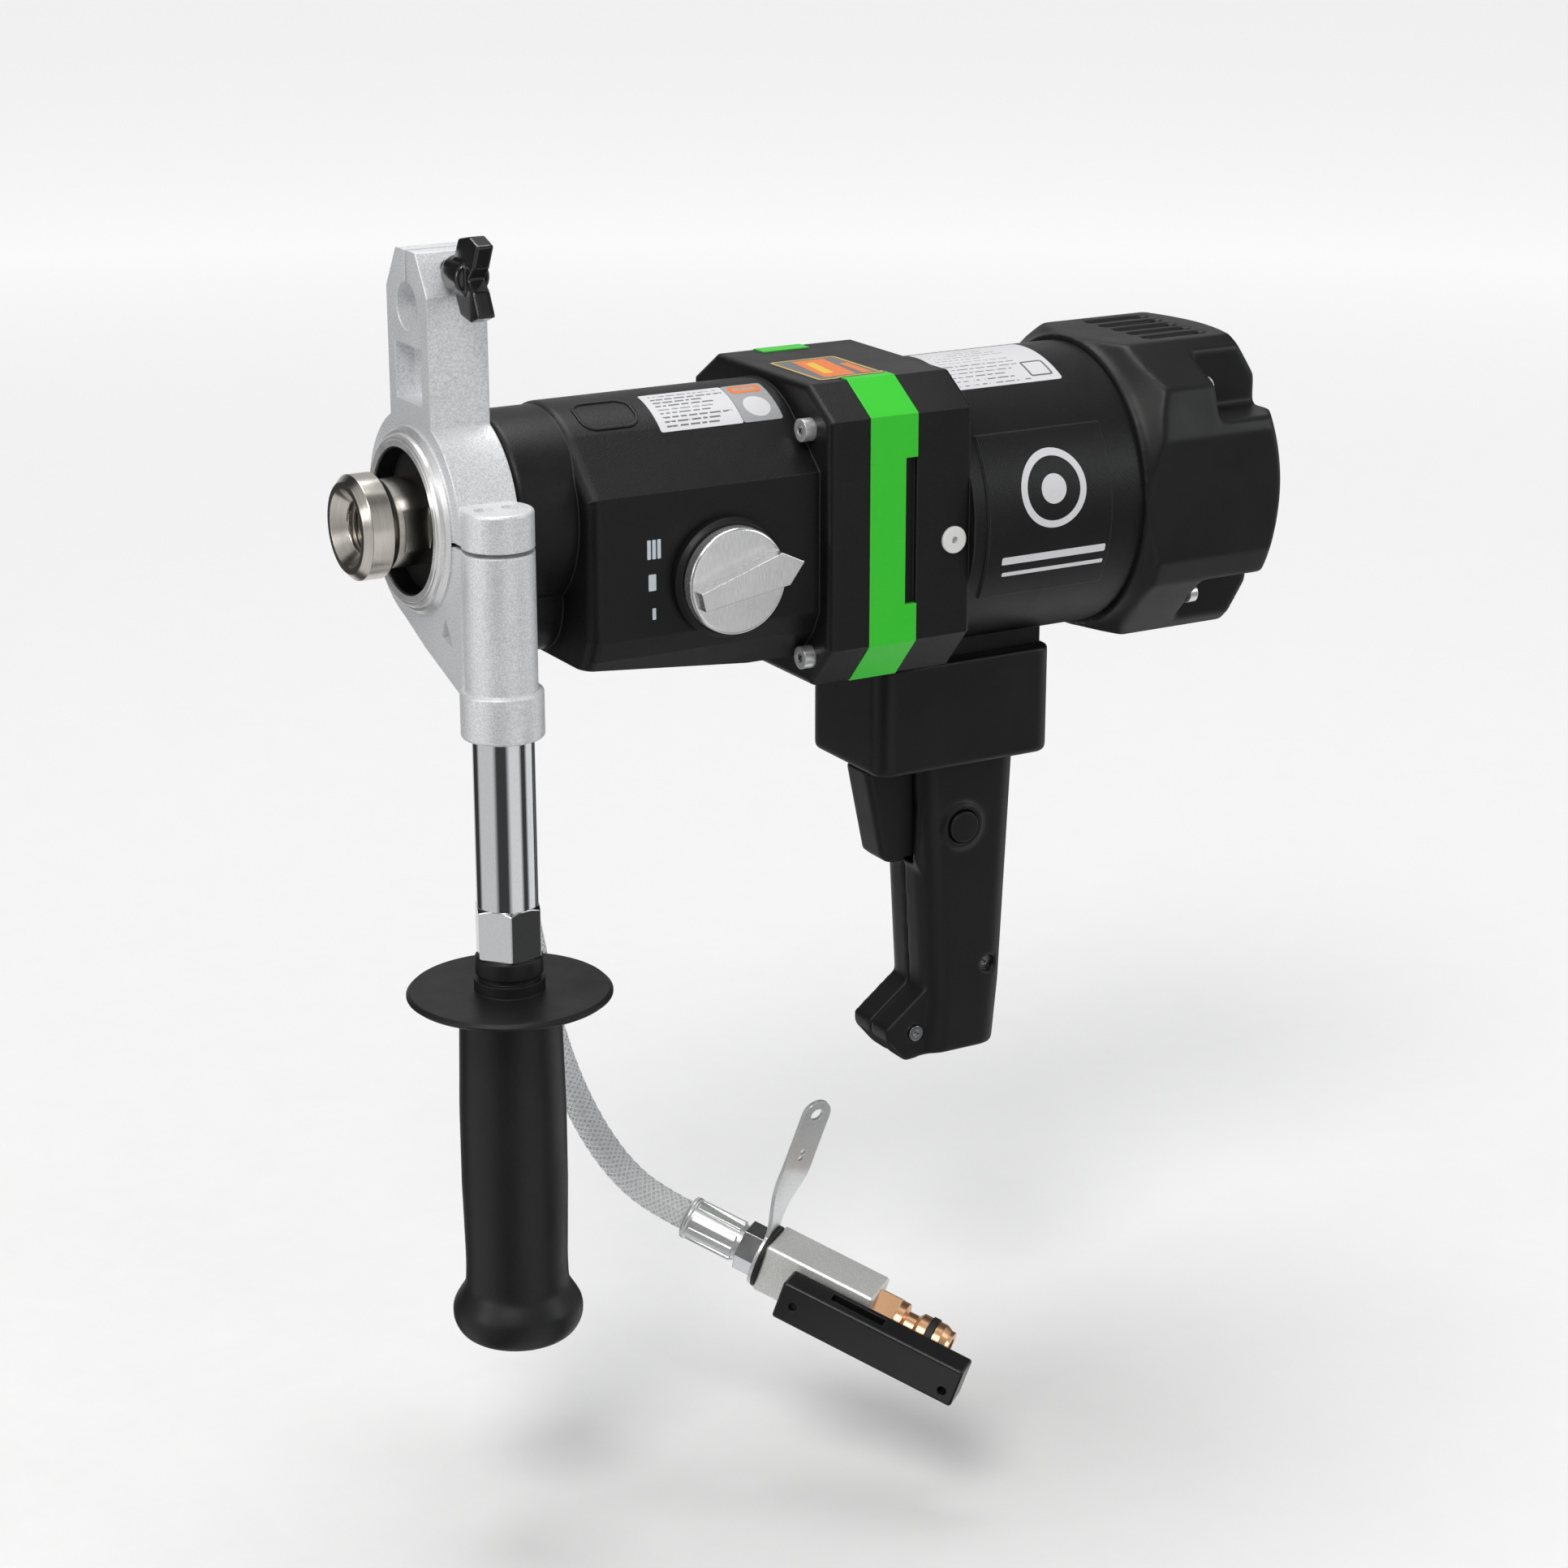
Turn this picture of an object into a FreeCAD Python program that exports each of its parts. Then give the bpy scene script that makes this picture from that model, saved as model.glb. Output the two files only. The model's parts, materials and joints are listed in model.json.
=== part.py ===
import FreeCAD, Part
import math
import os

# Hand-held wet core drill: three-speed gearbox, motor, pistol grip, clamp bracket with a side
# handle, and a water hose with its ball valve.
# Millimetres. X runs along the spindle from the nose to the motor, Z is up, and the origin is on
# the spindle's axis at the front face of the clamp bracket. The hand side is -Y.

V = FreeCAD.Vector

# ---- clearances --------------------------------------------------------------------------------
RUN = 0.04                  # running fit, on the radius
SLIDE = 0.08                # sliding fit, on the radius
GAP = 0.35                  # free gap between moving neighbours
BACKLASH = 0.24             # at the pitch circle of every gear pair
WALL = 4.0                  # of the gearbox castings
FAR = 400.0                 # reach of the boxes that cut right through

# ---- spindle -----------------------------------------------------------------------------------
SPINDLE_R = 15.875          # 1 1/4 inch shank
NOSE_R = SPINDLE_R + 2.875
NOSE_X = -26.0
NOSE_LEN = 12.0
SOCKET_R = 9.5              # minor radius of the 1/2 inch pipe thread
SOCKET_DEPTH = 20.0
SEAT_R = 12.5               # front bearing and seal seat
COLLAR_SEAT_R = 12.0        # seat of the sliding dog collar
TAIL_R = 8.5                # rear bearing seat
WATER_R = 4.0
FLAT_HALF = 14.0            # wrench flats

# ---- neck and clamp bracket --------------------------------------------------------------------
NECK_R = 30.0               # 60 mm clamping neck
NECK_FRONT = -4.0
BRACKET_W = 22.5
NECK_END = BRACKET_W + 2.0
NOSE_BEARING_R = NECK_R - WALL
NOSE_BEARING_X0, NOSE_BEARING_X1 = 8.0, 23.0
RING_R = NECK_R + 9.0
RING_LIP_R = NECK_R + 3.5
ARM_HALF = 17.0
ARM_TOP = 95.0
ARM_CHAMFER = 9.0
ROD_R = 8.5                 # clamp bore for a depth rod
ROD_Z = 75.5
WING_Z = 89.0
WING_R = 3.0                # M6 clamp screw
SLIT = 1.6
HANDLE_X = BRACKET_W / 2
HANDLE_Y = -(RING_R + 6.0)
BOSS_R = 12.75
BOSS_TOP = 12.0
BOSS_SLIT_Z = -2.0
COLLAR_R = 14.75
COLLAR_TOP = -52.0
COLLAR_BOTTOM = -69.0

# ---- side handle -------------------------------------------------------------------------------
STUD_R = 6.0
TUBE_R = 11.0
TUBE_LEN = 62.0
HEX_AF = 22.0
HEX_H = 18.5
GRIP_NECK_R = 12.2
GRIP_NECK_H = 13.5
DISC_R = 37.0
DISC_H = 2.6
GRIP_R = 19.4
GRIP_LEN = 133.0

# ---- gearbox -----------------------------------------------------------------------------------
ROUND_R = NECK_R + 6.0
ROUND_END = 52.0
BODY_END = 140.0
BODY_TOP_R = 37.0
RIDGE_Y = 44.0
RIDGE_Z = 10.0
BODY_BOTTOM = -62.0
BODY_BOTTOM_FRONT = -54.0
FLANGE_T = 17.0
LAYSHAFT_R = 6.0
LAYSHAFT_END_R = 4.0
SPINDLE_TEETH, LAYSHAFT_TEETH, SPINDLE_MODULE = 46, 18, 1.2
WHEEL_TEETH, PINION_TEETH, WHEEL_MODULE = 36, 12, 0.875
LAYSHAFT_Z = -(SPINDLE_TEETH + LAYSHAFT_TEETH) * SPINDLE_MODULE / 2
MOTOR_Z = LAYSHAFT_Z + (WHEEL_TEETH + PINION_TEETH) * WHEEL_MODULE / 2
GEAR_X0, GEAR_X1 = ROUND_END + 12.0, ROUND_END + 28.0
WHEEL_X0, WHEEL_X1 = BODY_END - 14.5, BODY_END - 3.5
MID_PLATE_X0, MID_PLATE_X1 = BODY_END - 28.0, BODY_END - 18.0
TAIL_BEARING_R = 15.0
LAYSHAFT_BEARING_R = 8.0
CAVITY_FLOOR = BODY_BOTTOM + WALL + 1.0
FLANGE_SCREW_R = 2.5
PLUG_SHANK_R = 2.4
COVER_SCREW_R = 2.2
CHAMBER_R = 19.0
WATER_X = 44.0
WATER_Z = -12.0

# ---- gear selector -----------------------------------------------------------------------------
KNOB_X = MID_PLATE_X0 - 11.0
KNOB_Z = -23.5
KNOB_R = 19.5
KNOB_REST = 14.0            # pointer above +X at rest, in degrees
KNOB_TURN = 42.0
DETENT_R = 22.0
DETENT_FACE = -RIDGE_Y - 4.5
KNOB_SHAFT_R = 5.0
PIN_ARM = 10.0
PIN_R = 2.5
RAIL_Y, RAIL_Z, RAIL_R = -34.0, -2.0, 3.0
DOG_R = 20.0
DOG_GROOVE_R = 17.0
DOG_LEN = 16.0
SHIFT_TRAVEL = 2 * PIN_ARM * math.sin(math.radians(KNOB_TURN / 2))

# ---- motor -------------------------------------------------------------------------------------
FLANGE_HALF = 51.0
FLANGE_TOP = MOTOR_Z + FLANGE_HALF + 6.4
FLANGE_BOTTOM = MOTOR_Z - FLANGE_HALF - 3.6
BAND_W = 20.0
BAND_T = 2.0
MOTOR_FLANGE_LEN = 44.0
MOTOR_R = 55.0
MOTOR_WALL = 3.5
BARREL_LEN = 75.0
COVER_R = MOTOR_R + 2.3
COVER_LEN = 67.0
AIR_GAP = 0.7
CORE_R = 26.8
SHAFT_R = 6.0
REAR_SEAT_R = 5.0
FAN_R = FLANGE_HALF - 9.0
FAN_BLADES = 11
COIL_R = min(MOTOR_R - 9.0, FLANGE_HALF - 5.0)
MOTOR_BEARING_R = 14.0
REAR_BEARING_R = 13.0
COMM_R = 16.0
BRUSH_HALF = 4.0

# ---- grip and electronics ----------------------------------------------------------------------
BOX_LEN = 79.0
BOX_HALF = 27.0
BOX_TOP = MOTOR_Z - MOTOR_R - 2.6
BOX_BOTTOM = BOX_TOP - 43.0
BOX_WALL = 3.0
BOX_CORNER = 7.0
GRIP_HALF = 17.0
GRIP_WALL = 3.0
GRIP_LOW_Z = BOX_BOTTOM - 97.0
GRIP_BOTTOM = BOX_BOTTOM - 123.0
GRIP_SCREW_R = 1.6
RIB_HALF = 13.0
GLAND_R = 6.5
SWITCH_HALF = 8.0
TRIGGER_TRAVEL = 6.0
TRIGGER_HALF = 8.5
BUTTON_Z = BOX_BOTTOM - 28.0
BUTTON_R = 6.35
BUTTON_TRAVEL = 2.5

# ---- hose and valve ----------------------------------------------------------------------------
HOSE_R = 6.0
HOSE_ROUTE = [
    (44.0, 46.0, -50.0), (44.0, 46.0, -76.0), (47.6, 46.8, -103.0), (52.6, 46.0, -130.0),
    (56.8, 43.0, -157.5), (59.4, 37.5, -185.0), (61.4, 30.0, -210.5), (64.4, 20.5, -232.5),
    (69.2, 8.4, -251.4), (75.4, -4.4, -265.5), (83.1, -16.9, -274.1), (92.0, -28.0, -279.0),
]
FERRULE_LEN = 24.0
NUT_LEN = 8.0
VALVE_LEN = 45.0
VALVE_HALF = 10.0
STRAP_W = 15.0
STRAP_T = 1.6
STRAP_LEN = 66.0
WASHER_T = 1.4
FLOW_R = 4.0                # bore of the valve and the plug
STEM_R = 3.0
LEVER_SCREW_R = 1.8
LEVER_LEN, LEVER_W, LEVER_H = 75.0, 12.0, 16.0
LEVER_PIVOT = 20.0          # from the body's inlet end
LEVER_END = 6.5             # from the pivot to the lever's near end
LEVER_OFF = 18.0            # the lever's middle from the flow axis
BALL_R = 6.5

# ---- stations along X, worked out from the sizes above -----------------------------------------
FLANGE_END = BODY_END + FLANGE_T
BAND_END = FLANGE_END + BAND_W
BARREL_X = FLANGE_END + MOTOR_FLANGE_LEN
COVER_X = BARREL_X + BARREL_LEN
COVER_END = COVER_X + COVER_LEN
TUBE_TOP = COLLAR_BOTTOM - GAP
HEX_TOP = TUBE_TOP - TUBE_LEN
NECK_TOP = HEX_TOP - HEX_H
DISC_TOP = NECK_TOP - GRIP_NECK_H
GRIP_TOP = DISC_TOP - DISC_H
BRUSH_X0, BRUSH_X1 = COVER_X - 0.4, COVER_X + 8.4
BOX_X0 = BAND_END
BOX_X1 = BOX_X0 + BOX_LEN
GRIP_TOP_X0, GRIP_TOP_X1 = BOX_X0 + 25.0, BOX_X0 + 71.0
GRIP_LOW_X0, GRIP_LOW_X1 = BOX_X0 + 31.0, BOX_X0 + 66.5
BUTTON_X = BOX_X0 + 44.0
GLAND_X = BOX_X0 + 45.0
SWITCH_X1 = BOX_X0 + 61.0
TRIGGER_X = GRIP_TOP_X0     # the trigger's own places are counted from here
STEM_X = TRIGGER_X + 5.6
PLUG_X, PLUG_Z = BARREL_X - 8.0, -20.0
VALVE_X = FERRULE_LEN + NUT_LEN + STRAP_T + WASHER_T
PIVOT_X = VALVE_X + LEVER_PIVOT


# ---- small makers ------------------------------------------------------------------------------
def xcyl(r, x0, x1, y=0.0, z=0.0):
    return Part.makeCylinder(r, x1 - x0, V(x0, y, z), V(1, 0, 0))


def ycyl(r, y0, y1, x, z):
    return Part.makeCylinder(r, y1 - y0, V(x, y0, z), V(0, 1, 0))


def zcyl(r, z0, z1, x, y):
    return Part.makeCylinder(r, z1 - z0, V(x, y, z0), V(0, 0, 1))


def xring(outer, inner, x0, x1, y=0.0, z=0.0):
    return xcyl(outer, x0, x1, y, z).cut(xcyl(inner, x0 - 1, x1 + 1, y, z))


def zring(outer, inner, z0, z1, x, y):
    return zcyl(outer, z0, z1, x, y).cut(zcyl(inner, z0 - 1, z1 + 1, x, y))


def block(x0, x1, y0, y1, z0, z1):
    return Part.makeBox(x1 - x0, y1 - y0, z1 - z0, V(x0, y0, z0))


def poly_face(points):
    return Part.Face(Part.makePolygon([V(*p) for p in points + points[:1]]))


def prism_x(yz, x0, x1):
    return poly_face([(x0, y, z) for y, z in yz]).extrude(V(x1 - x0, 0, 0))


def prism_y(xz, y0, y1):
    return poly_face([(x, y0, z) for x, z in xz]).extrude(V(0, y1 - y0, 0))


def lathe_x(profile, y=0.0, z=0.0):
    """Solid of revolution about X from (x, radius) points, the first and last on the axis."""
    face = poly_face([(x, y, z + r) for x, r in profile])
    return face.revolve(V(0, y, z), V(1, 0, 0), 360)


def lathe_z(profile, x, y):
    """Solid of revolution about Z from (radius, z) points, the first and last on the axis."""
    face = poly_face([(x + r, y, z) for r, z in profile])
    return face.revolve(V(x, y, 0), V(0, 0, 1), 360)


def mirror_y(points):
    """Close an outline that is listed down one side only, from top to bottom."""
    return [(-y, z) for y, z in points] + [(y, z) for y, z in reversed(points)]


def fuse(shapes):
    return shapes[0].multiFuse(shapes[1:]) if len(shapes) > 1 else shapes[0]


def ends_at(shape, x):
    """The edges that lie in the plane at this X."""
    return [e for e in shape.Edges if all(abs(v.X - x) < 1e-4 for v in e.Vertexes)]


def beyond(shape, y):
    """The edges on the hand side of this Y."""
    return [e for e in shape.Edges if all(v.Y < y for v in e.Vertexes)]


def level_at(shape, z):
    """The edges that lie in the plane at this Z."""
    return [e for e in shape.Edges if all(abs(v.Z - z) < 1e-4 for v in e.Vertexes)]


def round_edges(shape):
    return [e for e in shape.Edges if e.Curve.TypeId == "Part::GeomCircle"]


def hexagon_x(af, x0, x1, y=0.0, z=0.0, turn=0.0):
    r = af / math.sqrt(3)
    ring = [math.radians(turn + 60 * k) for k in range(6)]
    return prism_x([(y + r * math.cos(a), z + r * math.sin(a)) for a in ring], x0, x1)


def screw(seat, way, shank_r, length, head_r, head_h, socket_r):
    """Socket-head screw: seat is the head's underside, way points from the head to the tip."""
    way = V(*way).normalize()
    seat = V(*seat)
    top = seat - way * head_h
    body = Part.makeCylinder(shank_r, length, seat, way).fuse(
        Part.makeCylinder(head_r, head_h, top, way))
    return body.cut(Part.makeCylinder(socket_r, head_h * 0.6, top - way * 0.01, way))


def bearing(x0, x1, y, z, bore_r, outer_r, balls):
    """Ball bearing about X: both rings and the balls, as separate solids."""
    depth = outer_r - bore_r
    rings = [xring(outer_r, outer_r - 0.28 * depth, x0, x1, y, z),
             xring(bore_r + 0.3 * depth, bore_r + RUN, x0, x1, y, z)]
    mid, ball_r = bore_r + 0.51 * depth, 0.2 * depth - RUN
    for k in range(balls):
        a = 2 * math.pi * k / balls
        place = V((x0 + x1) / 2, y + mid * math.cos(a), z + mid * math.sin(a))
        rings.append(Part.makeSphere(ball_r, place))
    return Part.makeCompound(rings)


def gear(teeth, module, x0, x1, z, bore_r, aim):
    """Spur gear about X with involute flanks; one tooth is centred on aim, degrees from +Y."""
    pressure = math.radians(25)
    pitch = teeth * module / 2
    base = pitch * math.cos(pressure)
    root, tip = pitch - 1.2 * module, pitch + 0.9 * module
    half = math.pi / (2 * teeth) - BACKLASH / (4 * pitch)
    half_base = half + math.tan(pressure) - pressure
    flank = [(root, half_base)] if root < base else []
    for k in range(6):
        r = max(base, root) + (tip - max(base, root)) * k / 5
        angle = math.acos(min(1.0, base / r))
        flank.append((r, half_base - (math.tan(angle) - angle)))
    outline = []
    for k in range(teeth):
        centre = math.radians(aim) + 2 * math.pi * k / teeth
        outline += [(r, centre - a) for r, a in flank] + [(r, centre + a) for r, a in reversed(flank)]
    body = prism_x([(r * math.cos(a), z + r * math.sin(a)) for r, a in outline], x0, x1)
    return body.cut(xcyl(bore_r, x0 - 1, x1 + 1, 0, z)) if bore_r else body


# ---- spindle group -----------------------------------------------------------------------------
def spindle():
    nose_end = NOSE_X + NOSE_LEN
    body = lathe_x([
        (NOSE_X, 0), (NOSE_X, NOSE_R - 2.6), (NOSE_X + 2.6, NOSE_R), (nose_end - 1.5, NOSE_R),
        (nose_end + 1.5, SPINDLE_R), (NOSE_BEARING_X0, SPINDLE_R), (NOSE_BEARING_X0, SEAT_R),
        (GEAR_X1, SEAT_R), (GEAR_X1, COLLAR_SEAT_R), (MID_PLATE_X0, COLLAR_SEAT_R),
        (MID_PLATE_X0, TAIL_R),
        (MID_PLATE_X1 - 1, TAIL_R), (MID_PLATE_X1 - 1, 0)])
    mouth = lathe_x([(NOSE_X - 1, 0), (NOSE_X - 1, SOCKET_R + 5.3), (NOSE_X + 5.0, SOCKET_R),
                     (NOSE_X + SOCKET_DEPTH, SOCKET_R), (NOSE_X + SOCKET_DEPTH + 4, WATER_R),
                     (WATER_X + 3, WATER_R), (WATER_X + 5, 0)])
    body = body.cut(mouth)
    for y0, y1 in ((-SPINDLE_R - 1, -FLAT_HALF), (FLAT_HALF, SPINDLE_R + 1)):
        body = body.cut(block(-10, -0.5, y0, y1, -20, 20))
    cross = ycyl(2.5, -SEAT_R - 1, SEAT_R + 1, WATER_X, 0)
    return body.cut(cross)


def spindle_gear():
    return gear(SPINDLE_TEETH, SPINDLE_MODULE, GEAR_X0, GEAR_X1, 0, SEAT_R, -90)


def shift_collar():
    """Dog collar: slides on the spindle, with a groove for the fork."""
    x0 = GEAR_X1 + 1
    body = xring(DOG_R, COLLAR_SEAT_R + RUN, x0, x0 + DOG_LEN)
    return body.cut(xring(DOG_R + 1, DOG_GROOVE_R, x0 + 6, x0 + 11))


def layshaft():
    x0, x1 = ROUND_END + 5.2, ROUND_END + 10
    x2, x3 = BODY_END, BODY_END + 6
    r, end_r = LAYSHAFT_R, LAYSHAFT_END_R
    body = lathe_x([(x0, 0), (x0, end_r), (x1, end_r), (x1, r), (x2, r), (x2, end_r), (x3, end_r),
                    (x3, 0)], 0, LAYSHAFT_Z)
    teeth = gear(LAYSHAFT_TEETH, SPINDLE_MODULE, GEAR_X0 - 1, GEAR_X1 + 1, LAYSHAFT_Z, 0,
                 90 + 180 / LAYSHAFT_TEETH)
    return body.fuse(teeth)


def layshaft_wheel():
    return gear(WHEEL_TEETH, WHEEL_MODULE, WHEEL_X0, WHEEL_X1, LAYSHAFT_Z, LAYSHAFT_R, 90)


# ---- gearbox -----------------------------------------------------------------------------------
def body_wire(x):
    """Outline of the gear housing across X: round top, bevels, upright sides, chamfered foot."""
    spread = math.radians(40)
    ty, tz = BODY_TOP_R * math.sin(spread), BODY_TOP_R * math.cos(spread)
    side = [(RIDGE_Y, RIDGE_Z), (RIDGE_Y, -42.0), (RIDGE_Y - 4, -50.0), (RIDGE_Y - 15, BODY_BOTTOM)]
    down = [V(x, -ty, tz)] + [V(x, -y, z) for y, z in side]
    up = [V(x, y, z) for y, z in reversed(side)] + [V(x, ty, tz)]
    points = down + up
    edges = [Part.LineSegment(a, b).toShape() for a, b in zip(points, points[1:])]
    edges.append(Part.Arc(points[-1], V(x, 0, BODY_TOP_R), points[0]).toShape())
    return Part.Wire(edges)


def body_prism(x0, x1, inset):
    wire = body_wire(x0)
    if inset:
        wire = wire.makeOffset2D(-inset, 2)
    return Part.Face(wire).extrude(V(x1 - x0, 0, 0))


def below(z):
    return block(0, FAR, -FAR, FAR, -FAR, z)


def foot_wedge():
    """What is cut from under the body so that its foot climbs towards the nose."""
    return prism_y([(ROUND_END - 20, BODY_BOTTOM - 30), (ROUND_END - 20, BODY_BOTTOM_FRONT + 2.4),
                    (ROUND_END, BODY_BOTTOM_FRONT), (MID_PLATE_X0 + 6, BODY_BOTTOM),
                    (MID_PLATE_X0 + 6, BODY_BOTTOM - 30)], -FAR, FAR)


def gear_cavity():
    """The room for the gears: shallow at the front, deep round the wheel, open at the back."""
    front = body_prism(ROUND_END + 10, MID_PLATE_X0, WALL).cut(below(LAYSHAFT_Z - 13.0))
    rear = body_prism(MID_PLATE_X0 - 1, FLANGE_END + 1, WALL).cut(below(CAVITY_FLOOR))
    return front.fuse(rear)


def flange_outline(grow=0.0):
    """Half of the flange's octagon, from top to bottom."""
    half, top, low = FLANGE_HALF, FLANGE_TOP, FLANGE_BOTTOM
    return [(half - 17 + grow / 2, top + grow), (half + grow, top - 11 + grow / 2),
            (half + grow, low + 16 - grow / 2), (half - 14 + grow / 2, low - grow)]


def flange_prism(x0, x1, grow=0.0):
    return prism_x(mirror_y(flange_outline(grow)), x0, x1)


def gear_housing():
    main = body_prism(ROUND_END - 5, BODY_END, 0)
    main = main.makeFillet(4.5, ends_at(main, ROUND_END - 5))
    flange = flange_prism(BODY_END, FLANGE_END)
    flange = flange.makeFillet(2.5, ends_at(flange, BODY_END))
    lobe = xcyl(22, NECK_END + 6, ROUND_END, 0, -31)
    lobe = lobe.makeFillet(4, ends_at(lobe, NECK_END + 6))
    ring = xcyl(ROUND_R, NECK_END, ROUND_END)
    ring = ring.makeFillet(3, ends_at(ring, NECK_END))
    neck = xcyl(NECK_R, NECK_FRONT, NECK_END)
    neck = neck.makeChamfer(1.2, ends_at(neck, NECK_FRONT))
    inlet_boss = ycyl(9, 20, 36, WATER_X, WATER_Z)
    shell = fuse([main.cut(foot_wedge()), flange, lobe, ring, neck, inlet_boss])
    tools = [
        gear_cavity(),
        xcyl(NOSE_BEARING_R, NECK_FRONT - 1, NOSE_BEARING_X1),
        xcyl(CHAMBER_R, NOSE_BEARING_X1 - 1, ROUND_END + 6),
        xcyl(CHAMBER_R - WALL, ROUND_END + 5, ROUND_END + 11),
        xcyl(LAYSHAFT_BEARING_R, ROUND_END + 5, ROUND_END + 11, 0, LAYSHAFT_Z),
        ycyl(3, 10, 37, WATER_X, WATER_Z),
        ycyl(6, 28, RIDGE_Y + 1, WATER_X, WATER_Z),
        zcyl(8.8, -80, WATER_Z + 16, HOSE_ROUTE[0][0], HOSE_ROUTE[0][1]),
        ycyl(KNOB_SHAFT_R + RUN, -RIDGE_Y - 1, -RIDGE_Y + WALL + 1, KNOB_X, KNOB_Z),
        xcyl(RAIL_R, ROUND_END + 6, ROUND_END + 11, RAIL_Y, RAIL_Z),
    ]
    tools += [xcyl(FLANGE_SCREW_R, BODY_END - 1, FLANGE_END + 1, y, z) for y, z in flange_screws()]
    for tool in tools:
        shell = shell.cut(tool)
    return shell


def flange_screws():
    y = FLANGE_HALF - 13.5
    return [(side * y, z) for side in (-1, 1) for z in (FLANGE_TOP - 15.5, FLANGE_BOTTOM + 11.5)]


def spindle_front_bearing():
    return bearing(NOSE_BEARING_X0, NOSE_BEARING_X1, 0, 0, SEAT_R, NOSE_BEARING_R, 10)


def spindle_rear_bearing():
    return bearing(MID_PLATE_X0 + 1, MID_PLATE_X0 + 8, 0, 0, TAIL_R, TAIL_BEARING_R, 9)


def spindle_seals():
    """The front dust seal, and the two shaft seals at either end of the water chamber."""
    chamber = [xring(CHAMBER_R, SEAT_R + RUN, x, x + 6) for x in (NECK_END + 2.5, ROUND_END - 1)]
    dust = xring(NOSE_BEARING_R, SPINDLE_R + RUN, NOSE_BEARING_X0 - 5, NOSE_BEARING_X0)
    return Part.makeCompound([dust] + chamber)


def layshaft_bearings():
    return Part.makeCompound([
        bearing(x, x + 4.5, 0, LAYSHAFT_Z, LAYSHAFT_END_R, LAYSHAFT_BEARING_R, 7)
        for x in (ROUND_END + 5, BODY_END + 1.2)])


def mid_bearing_plate():
    plate = body_prism(MID_PLATE_X0, MID_PLATE_X1, WALL).cut(below(CAVITY_FLOOR))
    plate = plate.cut(xcyl(TAIL_BEARING_R, MID_PLATE_X0 + 1, MID_PLATE_X1 + 1))
    plate = plate.cut(xcyl(TAIL_R + 3, MID_PLATE_X0 - 1, MID_PLATE_X0 + 2))
    return plate.cut(xcyl(LAYSHAFT_R + 1, MID_PLATE_X0 - 1, MID_PLATE_X1 + 1, 0, LAYSHAFT_Z))


def rear_bearing_plate():
    x0 = BODY_END + 1
    plate = body_prism(x0, FLANGE_END, WALL).cut(below(CAVITY_FLOOR))
    plate = plate.cut(xcyl(LAYSHAFT_BEARING_R, x0 - 1, BODY_END + 5.7, 0, LAYSHAFT_Z))
    plate = plate.cut(xcyl(LAYSHAFT_END_R + 1, x0, BODY_END + 6.5, 0, LAYSHAFT_Z))
    plate = plate.cut(xcyl(SHAFT_R + 1, x0 - 1, FLANGE_END + 1, 0, MOTOR_Z))
    return plate.cut(xcyl(MOTOR_BEARING_R, BODY_END + 8, FLANGE_END + 1, 0, MOTOR_Z))


# ---- gear selector -----------------------------------------------------------------------------
def detent_ring():
    ring = ycyl(DETENT_R, DETENT_FACE, -RIDGE_Y, KNOB_X, KNOB_Z)
    ring = ring.makeChamfer(1.5, beyond(ring, DETENT_FACE + 0.1))
    return ring.cut(ycyl(KNOB_SHAFT_R + RUN, DETENT_FACE - 1, -RIDGE_Y + 1, KNOB_X, KNOB_Z))


def shift_knob():
    """Round knob with a raised finger bar and a pointer nose."""
    face = DETENT_FACE - GAP
    disc = ycyl(KNOB_R, face - 5.0, face, KNOB_X, KNOB_Z)
    disc = disc.makeFillet(1.2, beyond(disc, face - 4))
    bar = prism_y([(-KNOB_R + 1.5, -3.4), (KNOB_R - 3, -6.2), (KNOB_R + 4.6, 0),
                   (KNOB_R - 3, 6.2), (-KNOB_R + 1.5, 3.4)], face - 11.0, face - 1.0)
    bar.rotate(V(0, 0, 0), V(0, 1, 0), -KNOB_REST)
    bar.translate(V(KNOB_X, 0, KNOB_Z))
    return disc.fuse(bar).cut(ycyl(KNOB_SHAFT_R, face - 3, face + 1, KNOB_X, KNOB_Z))


def pin_at():
    """Rest place of the eccentric pin, in X and Z."""
    a = math.radians(-KNOB_TURN / 2)
    return KNOB_X + PIN_ARM * math.sin(a), KNOB_Z + PIN_ARM * math.cos(a)


def knob_shaft():
    """Shaft through the housing wall, with a crank arm and its eccentric pin."""
    face = DETENT_FACE - GAP
    inner = -RIDGE_Y + WALL
    px, pz = pin_at()
    shaft = ycyl(KNOB_SHAFT_R, face - 3, inner + 2.4, KNOB_X, KNOB_Z)
    arm = block(-PIN_R - 1, PIN_R + 1, inner + GAP, inner + 2.4, 0, PIN_ARM)
    arm.rotate(V(0, 0, 0), V(0, 1, 0), -KNOB_TURN / 2)
    arm.translate(V(KNOB_X, 0, KNOB_Z))
    tip = ycyl(PIN_R + 1, inner + GAP, inner + 2.4, px, pz)
    return fuse([shaft, arm, tip, ycyl(PIN_R, inner + 1, inner + 6.6, px, pz)])


def fork_rail():
    return xcyl(RAIL_R, ROUND_END + 6, MID_PLATE_X0, RAIL_Y, RAIL_Z)


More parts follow.
